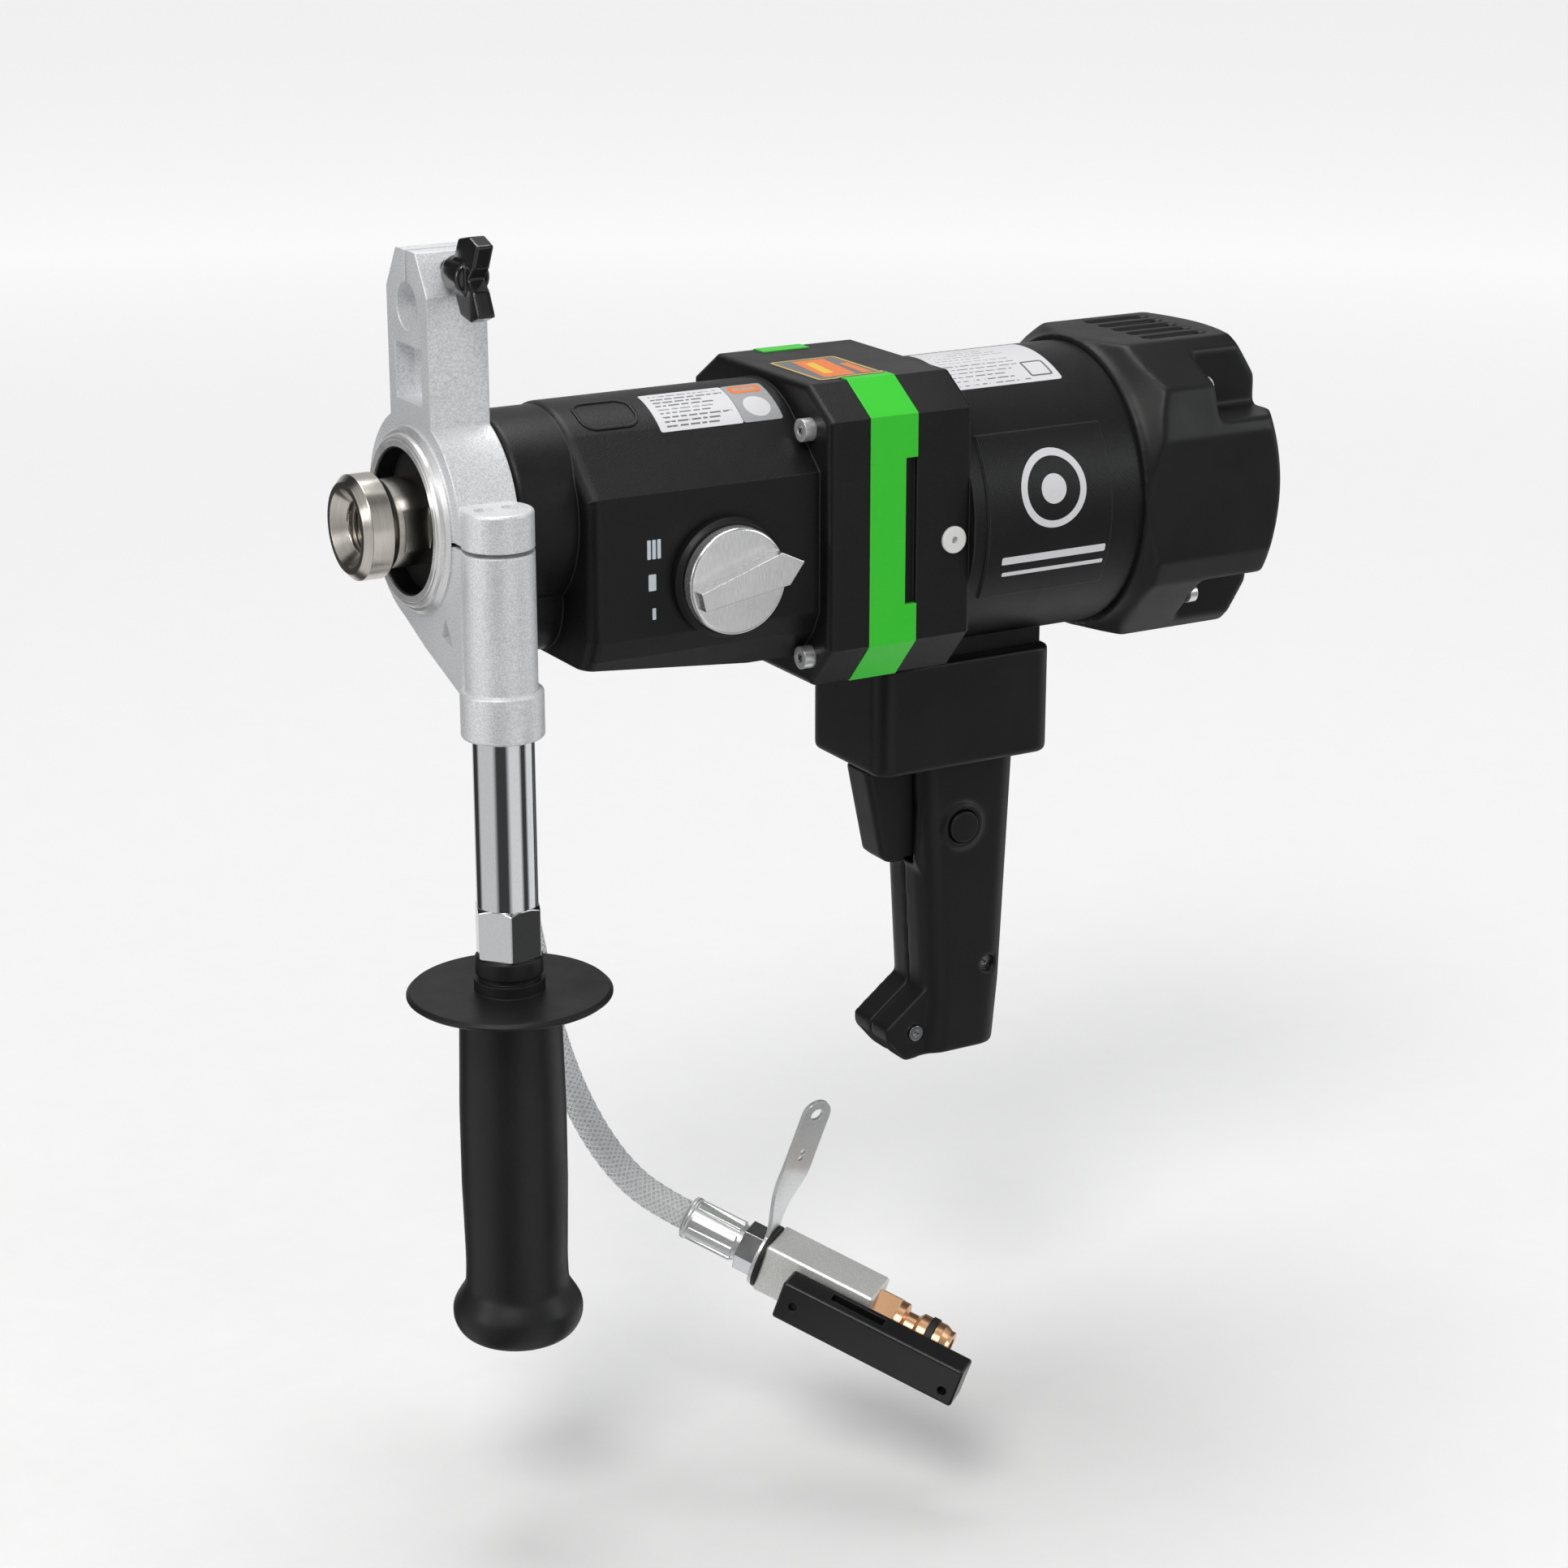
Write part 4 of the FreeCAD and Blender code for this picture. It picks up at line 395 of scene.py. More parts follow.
def make_finishes(scene):
    """Every material of the drill, by its maker's name."""
    c, edge = scene.drill_colours, scene.drill_sizes.edge_radius
    FINISHES.update({
        "coat": finish("Powder coat", tuple(c.casting), (0.34, 0.46), grain=(1500, 0.00009),
                       edge=edge, wear=((0.10, 0.10, 0.105), 0.35), mottle=0.25,
                       Specular_IOR_Level=0.30),
        "moulding": finish("Moulded nylon", tuple(c.moulding), (0.36, 0.48), grain=(3200, 0.00003),
                           edge=edge, wear=((0.06, 0.06, 0.062), 0.3), mottle=0.15,
                           Specular_IOR_Level=0.32),
        "gloss": finish("Gloss moulding", (0.010, 0.010, 0.011), (0.10, 0.18), grain=(700, 0.00001),
                        edge=edge, mottle=0.1, Coat_Weight=0.4, Coat_Roughness=0.06),
        "grip": finish("Soft grip", (0.012, 0.012, 0.013), (0.36, 0.50), grain=(2600, 0.00003),
                       edge=edge, mottle=0.2, Specular_IOR_Level=0.32),
        "rubber": finish("Seal rubber", (0.010, 0.010, 0.010), (0.45, 0.6), grain=(3000, 0.00002),
                         edge=0.0004, mottle=0.2),
        "band": finish("Coloured band", tuple(c.band), (0.28, 0.38), grain=(3000, 0.00002),
                       edge=0.0006, wear=((0.16, 0.72, 0.10), 0.5), mottle=0.05),
        "white": finish("White nylon", (0.78, 0.78, 0.76), (0.3, 0.42), grain=(3000, 0.00002),
                        edge=0.0004, mottle=0.04),
        "blasted": finish("Blasted aluminium", tuple(c.bracket), (0.40, 0.56), 0.5,
                          grain=(1500, 0.00008), edge=0.0009, wear=((0.92, 0.92, 0.93), 0.6),
                          mottle=0.22),
        "lip": finish("Turned lip", (0.86, 0.86, 0.87), (0.25, 0.38), 0.7,
                      turned=((9000, 200, 200), 0.00001), mottle=0.12),
        "cast": finish("Cast aluminium", (0.55, 0.56, 0.57), (0.45, 0.6), 0.8,
                       grain=(1400, 0.00006), edge=0.0006, mottle=0.15),
        "bright": finish("Brushed aluminium", (0.86, 0.87, 0.88), (0.26, 0.38), 0.75,
                         turned=((700, 700, 9000), 0.000006), edge=0.0004, mottle=0.12),
        "knob": finish("Turned knob", (0.90, 0.90, 0.91), (0.20, 0.32), 0.9,
                       turned=((5200, 500, 260), 0.00001), edge=0.0005, mottle=0.12),
        "nickel": finish("Turned nickel steel", (0.74, 0.70, 0.64), (0.18, 0.28), 1.0,
                         turned=((9000, 60, 60), 0.000012), edge=0.0005, mottle=0.12),
        "chrome": finish("Chromed steel", (0.80, 0.81, 0.83), (0.04, 0.10), 1.0,
                         grain=(900, 0.000002), edge=0.0005, mottle=0.03),
        "satin_chrome": finish("Satin chrome", (0.72, 0.73, 0.75), (0.12, 0.22), 1.0,
                               turned=((500, 500, 6000), 0.000005), edge=0.0004, mottle=0.08),
        "steel": finish("Ground steel", (0.56, 0.57, 0.58), (0.18, 0.3), 1.0,
                        turned=((7000, 90, 90), 0.000006), edge=0.0004, mottle=0.12),
        "laminations": finish("Core laminations", (0.20, 0.20, 0.21), (0.35, 0.5), 0.9,
                              turned=((2500, 20, 20), 0.00004), mottle=0.4),
        "copper": finish("Winding copper", (0.72, 0.28, 0.10), (0.25, 0.4), 1.0,
                         turned=((2600, 2600, 2600), 0.00003), mottle=0.25),
        "board": finish("Insulating plastic", (0.05, 0.06, 0.05), (0.4, 0.55),
                        grain=(2500, 0.00002), edge=0.0004, mottle=0.15),
        "carbon": finish("Carbon", (0.02, 0.02, 0.022), (0.5, 0.65), grain=(3500, 0.00003),
                         mottle=0.3),
        "valve": finish("Cast zinc valve", (0.84, 0.84, 0.82), (0.34, 0.48), 0.45,
                        grain=(1600, 0.00004), edge=0.0006, mottle=0.14),
        "brass": finish("Copper-tinted brass", (0.80, 0.47, 0.26), (0.24, 0.36), 0.95,
                        turned=((5000, 5000, 5000), 0.000003), edge=0.0004, mottle=0.12),
        "lever": finish("Lever nylon", (0.010, 0.010, 0.011), (0.26, 0.38), grain=(3000, 0.00002),
                        edge=0.0006, mottle=0.15),
        "paper": ink("Sticker stock", tuple(c.paper), mottle=0.04),
        "print": ink("Grey print", (0.16, 0.16, 0.17), (0.34, 0.46), 0.1),
        "grey_panel": ink("Grey panel", (0.36, 0.37, 0.38)),
        "accent": ink("Accent print", tuple(c.accent)),
        "yellow": ink("Yellow print", (0.85, 0.55, 0.03)),
        "mark": ink("Pale print", (0.62, 0.68, 0.74), (0.34, 0.46), 0.08),
        "strand": finish("Braid strand", tuple(c.braid), (0.30, 0.45), grain=(4200, 0.00003),
                         mottle=0.18, Transmission_Weight=0.12, Coat_Weight=0.15),
        "core": finish("Hose core", (0.66, 0.67, 0.69), (0.35, 0.5), grain=(2500, 0.00002),
                       mottle=0.2),
        "thread": finish("Cut thread", (0.30, 0.28, 0.25), (0.2, 0.35), 1.0,
                         turned=((9000, 60, 60), 0.000008), mottle=0.2),
        "shadow": finish("Seam shadow", (0.004, 0.004, 0.004), (0.6, 0.8), grain=(2500, 0.00002),
                         mottle=0.2),
    })


NODE_FINISHES = {
    "coat": ["gear_housing", "motor_housing"],
    "moulding": ["rear_cover", "electronics_box", "grip_shell_left", "grip_shell_right", "trigger",
                 "lock_button", "detent_ring"],
    # lever_screw takes the black gloss so that the lever's pivot reads as a dark hole: painted
    # shade.
    "gloss": ["wing_screw", "lever_screw"],
    "grip": ["handle_grip", "hand_guard", "cord_gland"],
    "rubber": ["spindle_seals", "sealing_washer", "plug_o_ring"],
    "band": ["green_band"],
    "white": ["flange_plug"],
    "blasted": ["clamp_bracket"],
    "cast": ["mid_bearing_plate", "rear_bearing_plate", "shift_fork"],
    "knob": ["shift_knob"],
    "bright": ["hose_ferrules", "retaining_strap", "casing_screws"],
    "valve": ["valve_body"],
    "nickel": ["spindle"],
    "chrome": ["handle_tube", "handle_hex"],
    "satin_chrome": ["water_inlet", "hose_nut"],
    "steel": ["spindle_gear", "shift_collar", "layshaft", "layshaft_wheel", "armature_shaft",
              "knob_shaft", "fork_rail", "handle_stud", "valve_ball", "grip_screws",
              "spindle_front_bearing", "spindle_rear_bearing", "layshaft_bearings",
              "armature_bearings"],
    "laminations": ["stator", "armature_core"],
    "copper": ["field_coils", "armature_windings", "commutator"],
    "board": ["brush_carrier", "control_module", "switch_module", "cooling_fan"],
    "carbon": ["carbon_brushes"],
    "lever": ["valve_lever"],
    "brass": ["quick_plug"],
}


# ---- operators ---------------------------------------------------------------------------------
class DressFrame(bpy.types.Operator):
    """Give every carried-over part its finish"""
    bl_idname = "drill.dress_frame"
    bl_label = "Dress the frame"

    def execute(self, context):
        make_finishes(context.scene)
        dressed = [name for names in NODE_FINISHES.values() for name in names]
        missing = set(NODES) - set(dressed) - {"water_hose"}
        if missing or set(dressed) - set(NODES):
            raise RuntimeError(f"finishes and frame disagree: {sorted(missing)}")
        for finish_name, names in NODE_FINISHES.items():
            dress(names, FINISHES[finish_name])
        dress(["water_hose"], FINISHES["core"])
        return {"FINISHED"}


def spline_object(name, points, thickness=0.0):
    """An open NURBS curve through control points, as a tube when it has a thickness."""
    curve = bpy.data.curves.new(name, "CURVE")
    curve.dimensions = "3D"
    curve.resolution_u = 16
    spline = curve.splines.new("NURBS")
    spline.points.add(len(points) - 1)
    for point, place in zip(spline.points, points):
        point.co = (*place, 1)
    spline.order_u = 3
    spline.use_endpoint_u = True
    curve.bevel_depth = thickness
    curve.bevel_resolution = 6
    return linked(name, curve)


def frames_along(points, count):
    """Evenly spaced (point, tangent, side, up) along a polyline, turned as little as possible."""
    lengths = [0.0]
    for a, b in zip(points, points[1:]):
        lengths.append(lengths[-1] + (b - a).length)
    out, side, at = [], None, 0
    for k in range(count):
        want = lengths[-1] * k / (count - 1)
        while at < len(points) - 2 and lengths[at + 1] < want:
            at += 1
        span = lengths[at + 1] - lengths[at]
        here = points[at].lerp(points[at + 1], (want - lengths[at]) / span)
        a, b = points[max(at - 1, 0)], points[min(at + 2, len(points) - 1)]
        tangent = (b - a).normalized()
        side = side or Vector((1, 0, 0))
        side = (side - tangent * side.dot(tangent)).normalized()
        out.append((here, tangent, side, tangent.cross(side)))
    return out, lengths[-1]


def end_tree(tree, geometry, material, leave):
    """Finish a tree with real geometry and a material."""
    real = add_node(tree, "GeometryNodeRealizeInstances", {"Geometry": geometry})
    coat = add_node(tree, "GeometryNodeSetMaterial", {
        "Geometry": real.outputs["Geometry"], "Material": material})
    tree.links.new(coat.outputs["Geometry"], leave.inputs[0])


def bake_tree(source, tree, values):
    """Run a tree on an object, make the result a plain flat mesh and drop the source."""
    name = tree.name
    mod = source.modifiers.new(name, "NODES")
    mod.node_group = tree
    for item in tree.interface.items_tree:
        if item.in_out == "INPUT" and item.name in values:
            mod[item.identifier] = values[item.name]
    mesh = evaluated_mesh(source)
    source.modifiers.remove(mod)
    bpy.data.objects.remove(source)
    mesh.name = name
    if not mesh.polygons:
        raise RuntimeError(f"{name} came out empty")
    mesh.polygons.foreach_set("use_smooth", [False] * len(mesh.polygons))
    return mesh


def points_object(name, spots):
    """Loose points, each with its ways out and along and its stretch."""
    mesh = bpy.data.meshes.new(name)
    mesh.from_pydata([tuple(spot[0]) for spot in spots], [], [])
    for label, column in (("facing", 1), ("along", 2), ("stretch", 3)):
        made = mesh.attributes.new(label, "FLOAT_VECTOR", "POINT")
        made.data.foreach_set("vector", [c for spot in spots for c in spot[column]])
    return linked(name, mesh)


def scatter_tree(name):
    """Put one shape on every point, its Z facing out and its X along, stretched as asked."""
    tree, enter, leave = new_tree(name, "GeometryNodeTree", [
        ("Geometry", "NodeSocketGeometry", None), ("Shape", "NodeSocketObject", None),
        ("Finish", "NodeSocketMaterial", None)], [("Geometry", "NodeSocketGeometry")])
    facing, along, stretch = (
        add_node(tree, "GeometryNodeInputNamedAttribute", {"Name": label}, data_type="FLOAT_VECTOR")
        for label in ("facing", "along", "stretch"))
    turn = add_node(tree, "FunctionNodeAxesToRotation", {
        "Primary Axis": facing.outputs["Attribute"], "Secondary Axis": along.outputs["Attribute"]},
        primary_axis="Z", secondary_axis="X")
    shape = add_node(tree, "GeometryNodeObjectInfo", {"Object": enter.outputs["Shape"]})
    put = add_node(tree, "GeometryNodeInstanceOnPoints", {
        "Points": enter.outputs["Geometry"], "Instance": shape.outputs["Geometry"],
        "Rotation": turn.outputs["Rotation"], "Scale": stretch.outputs["Attribute"]})
    end_tree(tree, put.outputs["Instances"], enter.outputs["Finish"], leave)
    return tree


def repeat_shape(name, shape_mesh, spots, finish_name, slot):
    """The same small shape at each spot, as one piece on the housing."""
    shape = linked(f"{name}_shape", shape_mesh)
    mesh = bake_tree(points_object(f"{name}_points", spots), scatter_tree(name),
                     {"Shape": shape, "Finish": FINISHES[finish_name]})
    bpy.data.objects.remove(shape)
    keep_mesh(name, mesh, finish_name, "housing", slot)


class MakeHose(bpy.types.Operator):
    """Braided water hose: a core under two sets of crossing flat strands"""
    bl_idname = "drill.make_hose"
    bl_label = "Water hose"

    def execute(self, context):
        sizes = context.scene.drill_sizes
        radius = sizes.hose_diameter / 2
        line = spline_object("hose_line", HOSE_ROUTE)
        trace = evaluated_mesh(line)
        points = [v.co.copy() for v in trace.vertices]
        bpy.data.meshes.remove(trace)
        bpy.data.objects.remove(line)
        core = spline_object("hose_core", HOSE_ROUTE, radius - 0.5 * MM)
        core.data.use_fill_caps = True
        core.data.materials.append(FINISHES["core"])
        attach(core, "housing")
        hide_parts("water_hose")
        _, length = frames_along(points, 2)
        braid = self.weave(points, length, sizes)
        keep_mesh("hose_braid", braid, "strand", "housing", "hose_braid")
        return {"FINISHED"}

    def weave(self, points, length, sizes):
        """Flat strands wound both ways, rising over and dipping under each other."""
        count, pitch = sizes.braid_strands, sizes.braid_pitch
        steps = int(length / (pitch / count) * 2)
        places, _ = frames_along(points, steps)
        mid, lift, half = sizes.hose_diameter / 2 - 0.34 * MM, 0.20 * MM, sizes.strand_width / 2
        widen = 1.05
        # One strand's section: (across, in half widths; up, in millimetres).
        section = ((-1, -0.10), (-0.6, 0.05), (0, 0.11), (0.6, 0.05), (1, -0.10), (0, -0.24))
        n = len(section)
        verts, faces = [], []
        for way in (1, -1):
            for strand in range(count):
                rows = []
                for k, (here, _, side, up) in enumerate(places):
                    along = length * k / (steps - 1)
                    turn = 2 * math.pi * (strand / count + way * along / pitch)
                    phase = way * math.cos(math.pi * (2 * along * count / pitch + strand))
                    row = []
                    for edge, height in section:
                        a = turn + edge * half / mid * widen
                        r = mid + lift * phase + height * MM
                        row.append(here + (side * math.cos(a) + up * math.sin(a)) * r)
                    rows.append(row)
                base = len(verts)
                for row in rows:
                    verts += row
                last = base + n * (len(rows) - 1)
                faces += [tuple(range(base, base + n)), tuple(range(last, last + n))]
                for k in range(len(rows) - 1):
                    a = base + n * k
                    faces += [(a + e, a + (e + 1) % n, a + n + (e + 1) % n, a + n + e)
                              for e in range(n)]
        return tidy_normals(mesh_of("hose_braid", verts, faces))


# ---- fine parts --------------------------------------------------------------------------------
def surface_of(*names):
    """The outside of some CAD parts, to lay thin things on."""
    verts, faces = [], []
    for name in names:
        mesh, base = NODES[name].data, len(verts)
        verts += [v.co.copy() for v in mesh.vertices]
        faces += [[base + i for i in face.vertices] for face in mesh.polygons]
    return BVHTree.FromPolygons(verts, faces)


def meet(tree, start, way):
    """Where a ray first meets a surface."""
    hit = tree.ray_cast(start, way)[0]
    if hit is None:
        raise RuntimeError(f"nothing to lay on from {tuple(start)}")
    return hit


def round_barrel(axis_z, radius, *names):
    """Lay (along X, arc from the top towards the hand side, out) on parts about an X axis."""
    tree = surface_of(*names)

    def place(u, v, w):
        out = Vector((0, -math.sin(v / radius), math.cos(v / radius)))
        return meet(tree, Vector((u, 0, axis_z)) + out * 0.2, -out) + out * w
    return place


def hand_side(*names):
    """Lay (X, Z, out) on the side that faces the hand."""
    tree = surface_of(*names)
    return lambda u, v, w: meet(tree, Vector((u, -0.3, v)), Vector((0, 1, 0))) - Vector((0, w, 0))


def top_side(*names):
    """Lay (X, Y, out) on the top."""
    tree = surface_of(*names)
    return lambda u, v, w: meet(tree, Vector((u, v, 0.3)), Vector((0, 0, -1))) + Vector((0, 0, w))


def circle(cu, cv, r, steps=56):
    """Points round a circle."""
    return [(cu + r * math.cos(2 * math.pi * k / steps), cv + r * math.sin(2 * math.pi * k / steps))
            for k in range(steps)]


def loop_band(name, outer, inner, place, low, high):
    """A thin raised band between two outlines that have the same number of points."""
    count, verts, faces = len(outer), [], []
    for outline, height in ((outer, low), (outer, high), (inner, high), (inner, low)):
        verts += [place(u, v, height) for u, v in outline]
    for ring in range(4):
        a, b = ring * count, (ring + 1) % 4 * count
        faces += [(a + k, a + (k + 1) % count, b + (k + 1) % count, b + k) for k in range(count)]
    return tidy_normals(mesh_of(name, verts, faces, smooth=False))


def joined(name, meshes):
    """Several meshes as one."""
    work = bmesh.new()
    for mesh in meshes:
        work.from_mesh(mesh)
        bpy.data.meshes.remove(mesh)
    made = bpy.data.meshes.new(name)
    work.to_mesh(made)
    work.free()
    return made


def block_mesh(name, size, centre=(0, 0, 0)):
    """A small block with its corners knocked off."""
    work = bmesh.new()
    bmesh.ops.create_cube(work, size=1.0)
    for vert in work.verts:
        vert.co = Vector(c * s + m for c, s, m in zip(vert.co, size, centre))
    bmesh.ops.bevel(work, geom=work.edges[:], offset=min(size) * 0.25, segments=1,
                    affect="EDGES", profile=0.5)
    bmesh.ops.recalc_face_normals(work, faces=work.faces[:])
    mesh = bpy.data.meshes.new(name)
    work.to_mesh(mesh)
    work.free()
    return mesh


def spot_at(place, u, v, stretch=1.0):
    """A spot on a surface: where it is, the ways out and along, and how long to make it."""
    here, step = place(u, v, 0), 0.3 * MM
    out = (place(u, v, MM) - here).normalized()
    across = place(u, v + step, 0) - place(u, v - step, 0)
    along = (place(u + step, v, 0) - place(u - step, v, 0)).normalized()
    normal = along.cross(across).normalized()
    return here, normal if normal.dot(out) > 0 else -normal, along, (stretch, 1, 1)


def rows_of_print(place, area, gap, height, seed):
    """Spots for rows of short bars that stand for print, without any letters."""
    dice = random.Random(seed)
    shortest, longest, space, ragged = 1.2, 5.0, 0.8 * MM, 0.35
    u0, u1, v0, v1 = area
    spots, v = [], v0
    while v <= v1:
        u, end = u0, u1 - dice.random() * (u1 - u0) * ragged
        while u < end:
            word = (shortest + dice.random() * (longest - shortest)) * MM
            spots.append(spot_at(place, u + word / 2, v, word / MM))
            u += word + space
        v += gap
    shape = block_mesh("bar", (MM, height, 0.09 * MM), (0, 0, 0.11 * MM))
    return spots, shape


class MakeStickers(bpy.types.Operator):
    """Plain stickers with bars in place of print on the gearbox, flange and motor"""
    bl_idname = "drill.make_stickers"
    bl_label = "Stickers"

    def execute(self, context):
        thick = context.scene.drill_sizes.sticker_thickness
        gearbox = round_barrel(0, GEARBOX_R, "gear_housing")
        motor = round_barrel(MOTOR_Z, MOTOR_R, "motor_housing")
        flange = top_side("gear_housing", "motor_housing", "green_band")
        self.sheet("gearbox_sticker", [rounded_outline(0.0855, 0.1190, 0.0068, 0.0282, 0.0008)],
                   gearbox, thick, "paper")
        self.sheet("gearbox_panel", [rounded_outline(0.1192, 0.1355, 0.0068, 0.0282, 0.0012)],
                   gearbox, thick, "grey_panel")
        self.sheet("gearbox_patch", [rounded_outline(0.1212, 0.1338, 0.0080, 0.0130, 0.0012)],
                   gearbox, thick + 0.05 * MM, "accent")
        self.sheet("gearbox_blank", [circle(0.1275, 0.0210, 0.0052)], gearbox,
                   thick + 0.05 * MM, "paper")
        self.print_rows("gearbox_print", gearbox, (0.0885, 0.1165, 0.0092, 0.0262), 0.0021,
                        0.8 * MM, 3)
        self.sheet("motor_sticker", [rounded_outline(0.2080, 0.2560, -0.0060, 0.0295, 0.0015)],
                   motor, thick, "paper")
        self.print_rows("motor_print", motor, (0.2105, 0.2410, -0.0038, 0.0275), 0.0026,
                        0.95 * MM, 5)
        self.frame("motor_frame", rounded_outline(0.2435, 0.2535, 0.0165, 0.0265, 0.0012),
                   rounded_outline(0.2443, 0.2527, 0.0173, 0.0257, 0.0006), motor, thick, "print")
        self.sheet("flange_sticker", [rounded_outline(0.1480, 0.1765, -0.0300, 0.0080, 0.002)],
                   flange, thick, "print")
        self.frame("flange_frame", rounded_outline(0.1485, 0.1760, -0.0295, 0.0075, 0.0018),
                   rounded_outline(0.1492, 0.1753, -0.0288, 0.0068, 0.0012), flange, thick,
                   "yellow")
        self.sheet("flange_flash", [self.slash(0.1525, 0.1660, -0.0260, 0.0048, 0.004),
                                    self.slash(0.1695, 0.1730, -0.0270, -0.0060, 0.001)],
                   flange, thick + 0.05 * MM, "accent")
        self.sheet("flange_streak", [self.slash(0.1560, 0.1600, -0.0200, 0.0000, 0.003)],
                   flange, thick + 0.10 * MM, "yellow")
        return {"FINISHED"}

    def slash(self, u0, u1, v0, v1, lean):
        """A leaning bar's outline."""
        return [(u0, v0), (u1, v0), (u1 + lean, v1), (u0 + lean, v1)]

    def sheet(self, name, outlines, place, thick, finish_name):
        """A thin plate laid on the housing."""
        keep_mesh(name, sheet_mesh(name, outlines, place, -0.05 * MM, thick), finish_name,
                  "housing", "black_plastic")

    def frame(self, name, outer, inner, place, thick, finish_name):
        """A printed line round a sticker."""
        keep_mesh(name, loop_band(name, outer, inner, place, 0, thick + 0.06 * MM), finish_name,
                  "housing", "black_plastic")

    def print_rows(self, name, place, area, gap, height, seed):
        """Rows of bars in place of text."""
        spots, shape = rows_of_print(place, area, gap, height, seed)
        repeat_shape(name, shape, spots, "print", "black_plastic")


class MakeMarks(bpy.types.Operator):
    """Ring badge with two stripes, gear position marks and the raised oval"""
    bl_idname = "drill.make_marks"
    bl_label = "Marks"

    def execute(self, context):
        barrel, side = hand_side("motor_housing"), hand_side("gear_housing")
        low, high = -0.05 * MM, 0.12 * MM
        badge = [loop_band("ring", circle(0.235, -0.005, 0.0145), circle(0.235, -0.005, 0.0118),
                           barrel, low, high),
                 sheet_mesh("dot", [circle(0.235, -0.005, 0.0055)], barrel, low, high),
                 sheet_mesh("stripes", [rounded_outline(0.2125, 0.2590, -0.0318, -0.0288, 0.0006),
                                        rounded_outline(0.2135, 0.2590, -0.0366, -0.0350, 0.0005)],
                            barrel, low, high)]
        keep_mesh("barrel_badge", joined("barrel_badge", badge), "paper", "housing",
                  "black_casting")
        tall, mid, short = 7.0 * MM, 6.0 * MM, 4.2 * MM
        marks = [rounded_outline(0.0694 + k * 2.0 * MM, 0.0708 + k * 2.0 * MM, -0.0102 - tall / 2,
                                 -0.0102 + tall / 2, 0.0003, 3, 4) for k in range(3)]
        marks += [rounded_outline(0.0698, 0.0728, -0.0222 - mid / 2, -0.0222 + mid / 2, 0.0004),
                  rounded_outline(0.0712, 0.0726, -0.0337 - short / 2, -0.0337 + short / 2, 0.0003)]
        keep_mesh("gear_marks", sheet_mesh("gear_marks", marks, side, low, high), "mark",
                  "housing", "black_casting")
        gearbox = round_barrel(0, GEARBOX_R, "gear_housing")
        oval = (rounded_outline(0.0565, 0.0800, 0.0074, 0.0240, 0.0060, 10),
                rounded_outline(0.0577, 0.0788, 0.0086, 0.0228, 0.0048, 10))
        keep_mesh("raised_oval", loop_band("raised_oval", *oval, gearbox, low, 0.45 * MM), "coat",
                  "housing", "black_casting")
        return {"FINISHED"}


class MakeThread(bpy.types.Operator):
    """Pipe thread inside the spindle's socket"""
    bl_idname = "drill.make_thread"
    bl_label = "Socket thread"

    def execute(self, context):
        pitch = context.scene.drill_sizes.thread_pitch
        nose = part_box("spindle")[0][0]
        steps, start, end = 48, nose + 5.2 * MM, nose + 19.5 * MM
        root, crest, foot, flat = 9.56 * MM, 8.55 * MM, 0.44, 0.10
        verts, faces = [], []
        count = int((end - start) / pitch * steps)
        for k in range(count + 1):
            a, x = 2 * math.pi * k / steps, start + pitch * k / steps
            fade = min(1, k / steps, (count - k) / steps)
            tip = root + (crest - root) * fade
            for r, shift in ((root, -foot), (tip, -flat), (tip, flat), (root, foot)):
                verts.append((x + shift * pitch, r * math.cos(a), r * math.sin(a)))
            if k:
                b = 4 * (k - 1)
                faces += [(b + e, b + 4 + e, b + 4 + (e + 1) % 4, b + (e + 1) % 4)
                          for e in range(4)]
        faces += [(0, 1, 2, 3), tuple(4 * count + e for e in (3, 2, 1, 0))]
        keep_mesh("socket_thread", tidy_normals(mesh_of("socket_thread", verts, faces)), "thread",
                  "spindle", "nickel_steel")
        return {"FINISHED"}


class MakeCrimps(bpy.types.Operator):
    """Pressed ribs round the hose's lower ferrule"""
    bl_idname = "drill.make_crimps"
    bl_label = "Ferrule crimps"

    def execute(self, context):
        end = Vector(HOSE_ROUTE[-1])
        along = (end - Vector(HOSE_ROUTE[-2])).normalized()
        side = along.orthogonal().normalized()
        up = along.cross(side)
        ribs, middle, seat = 9, 12.5 * MM, 7.55 * MM
        spots = []
        for k in range(ribs):
            a = 2 * math.pi * k / ribs
            out = side * math.cos(a) + up * math.sin(a)
            spots.append((end + along * middle + out * seat, out, along, (1, 1, 1)))
        repeat_shape("ferrule_crimps", block_mesh("rib", (19 * MM, 2.9 * MM, 1.1 * MM)), spots,
                     "bright", "bright_aluminium")
        profile = ((0.4, 7.4), (0.4, 8.3), (1.6, 8.5), (2.6, 8.3), (2.6, 7.4))
        lip = revolved("ferrule_lip", [(x * MM, r * MM) for x, r in profile], end, along, 56, True)
        keep_mesh("ferrule_lip", lip, "bright", "housing", "bright_aluminium")
        return {"FINISHED"}


def islands(name):
    """The box of each separate solid in a CAD part."""
    work = bmesh.new()
    work.from_mesh(NODES[name].data)
    bmesh.ops.remove_doubles(work, verts=work.verts, dist=1e-6)
    left, boxes = set(work.verts), []
    while left:
        edge, found = [left.pop()], []
        while edge:
            vert = edge.pop()
            found.append(vert.co.copy())
            for other in (e.other_vert(vert) for e in vert.link_edges):
                if other in left:
                    left.remove(other)
                    edge.append(other)
        boxes.append(tuple(Vector(pick(c[i] for c in found) for i in range(3))
                           for pick in (min, max)))
    work.free()
    return sorted(boxes, key=lambda box: tuple(box[0]))


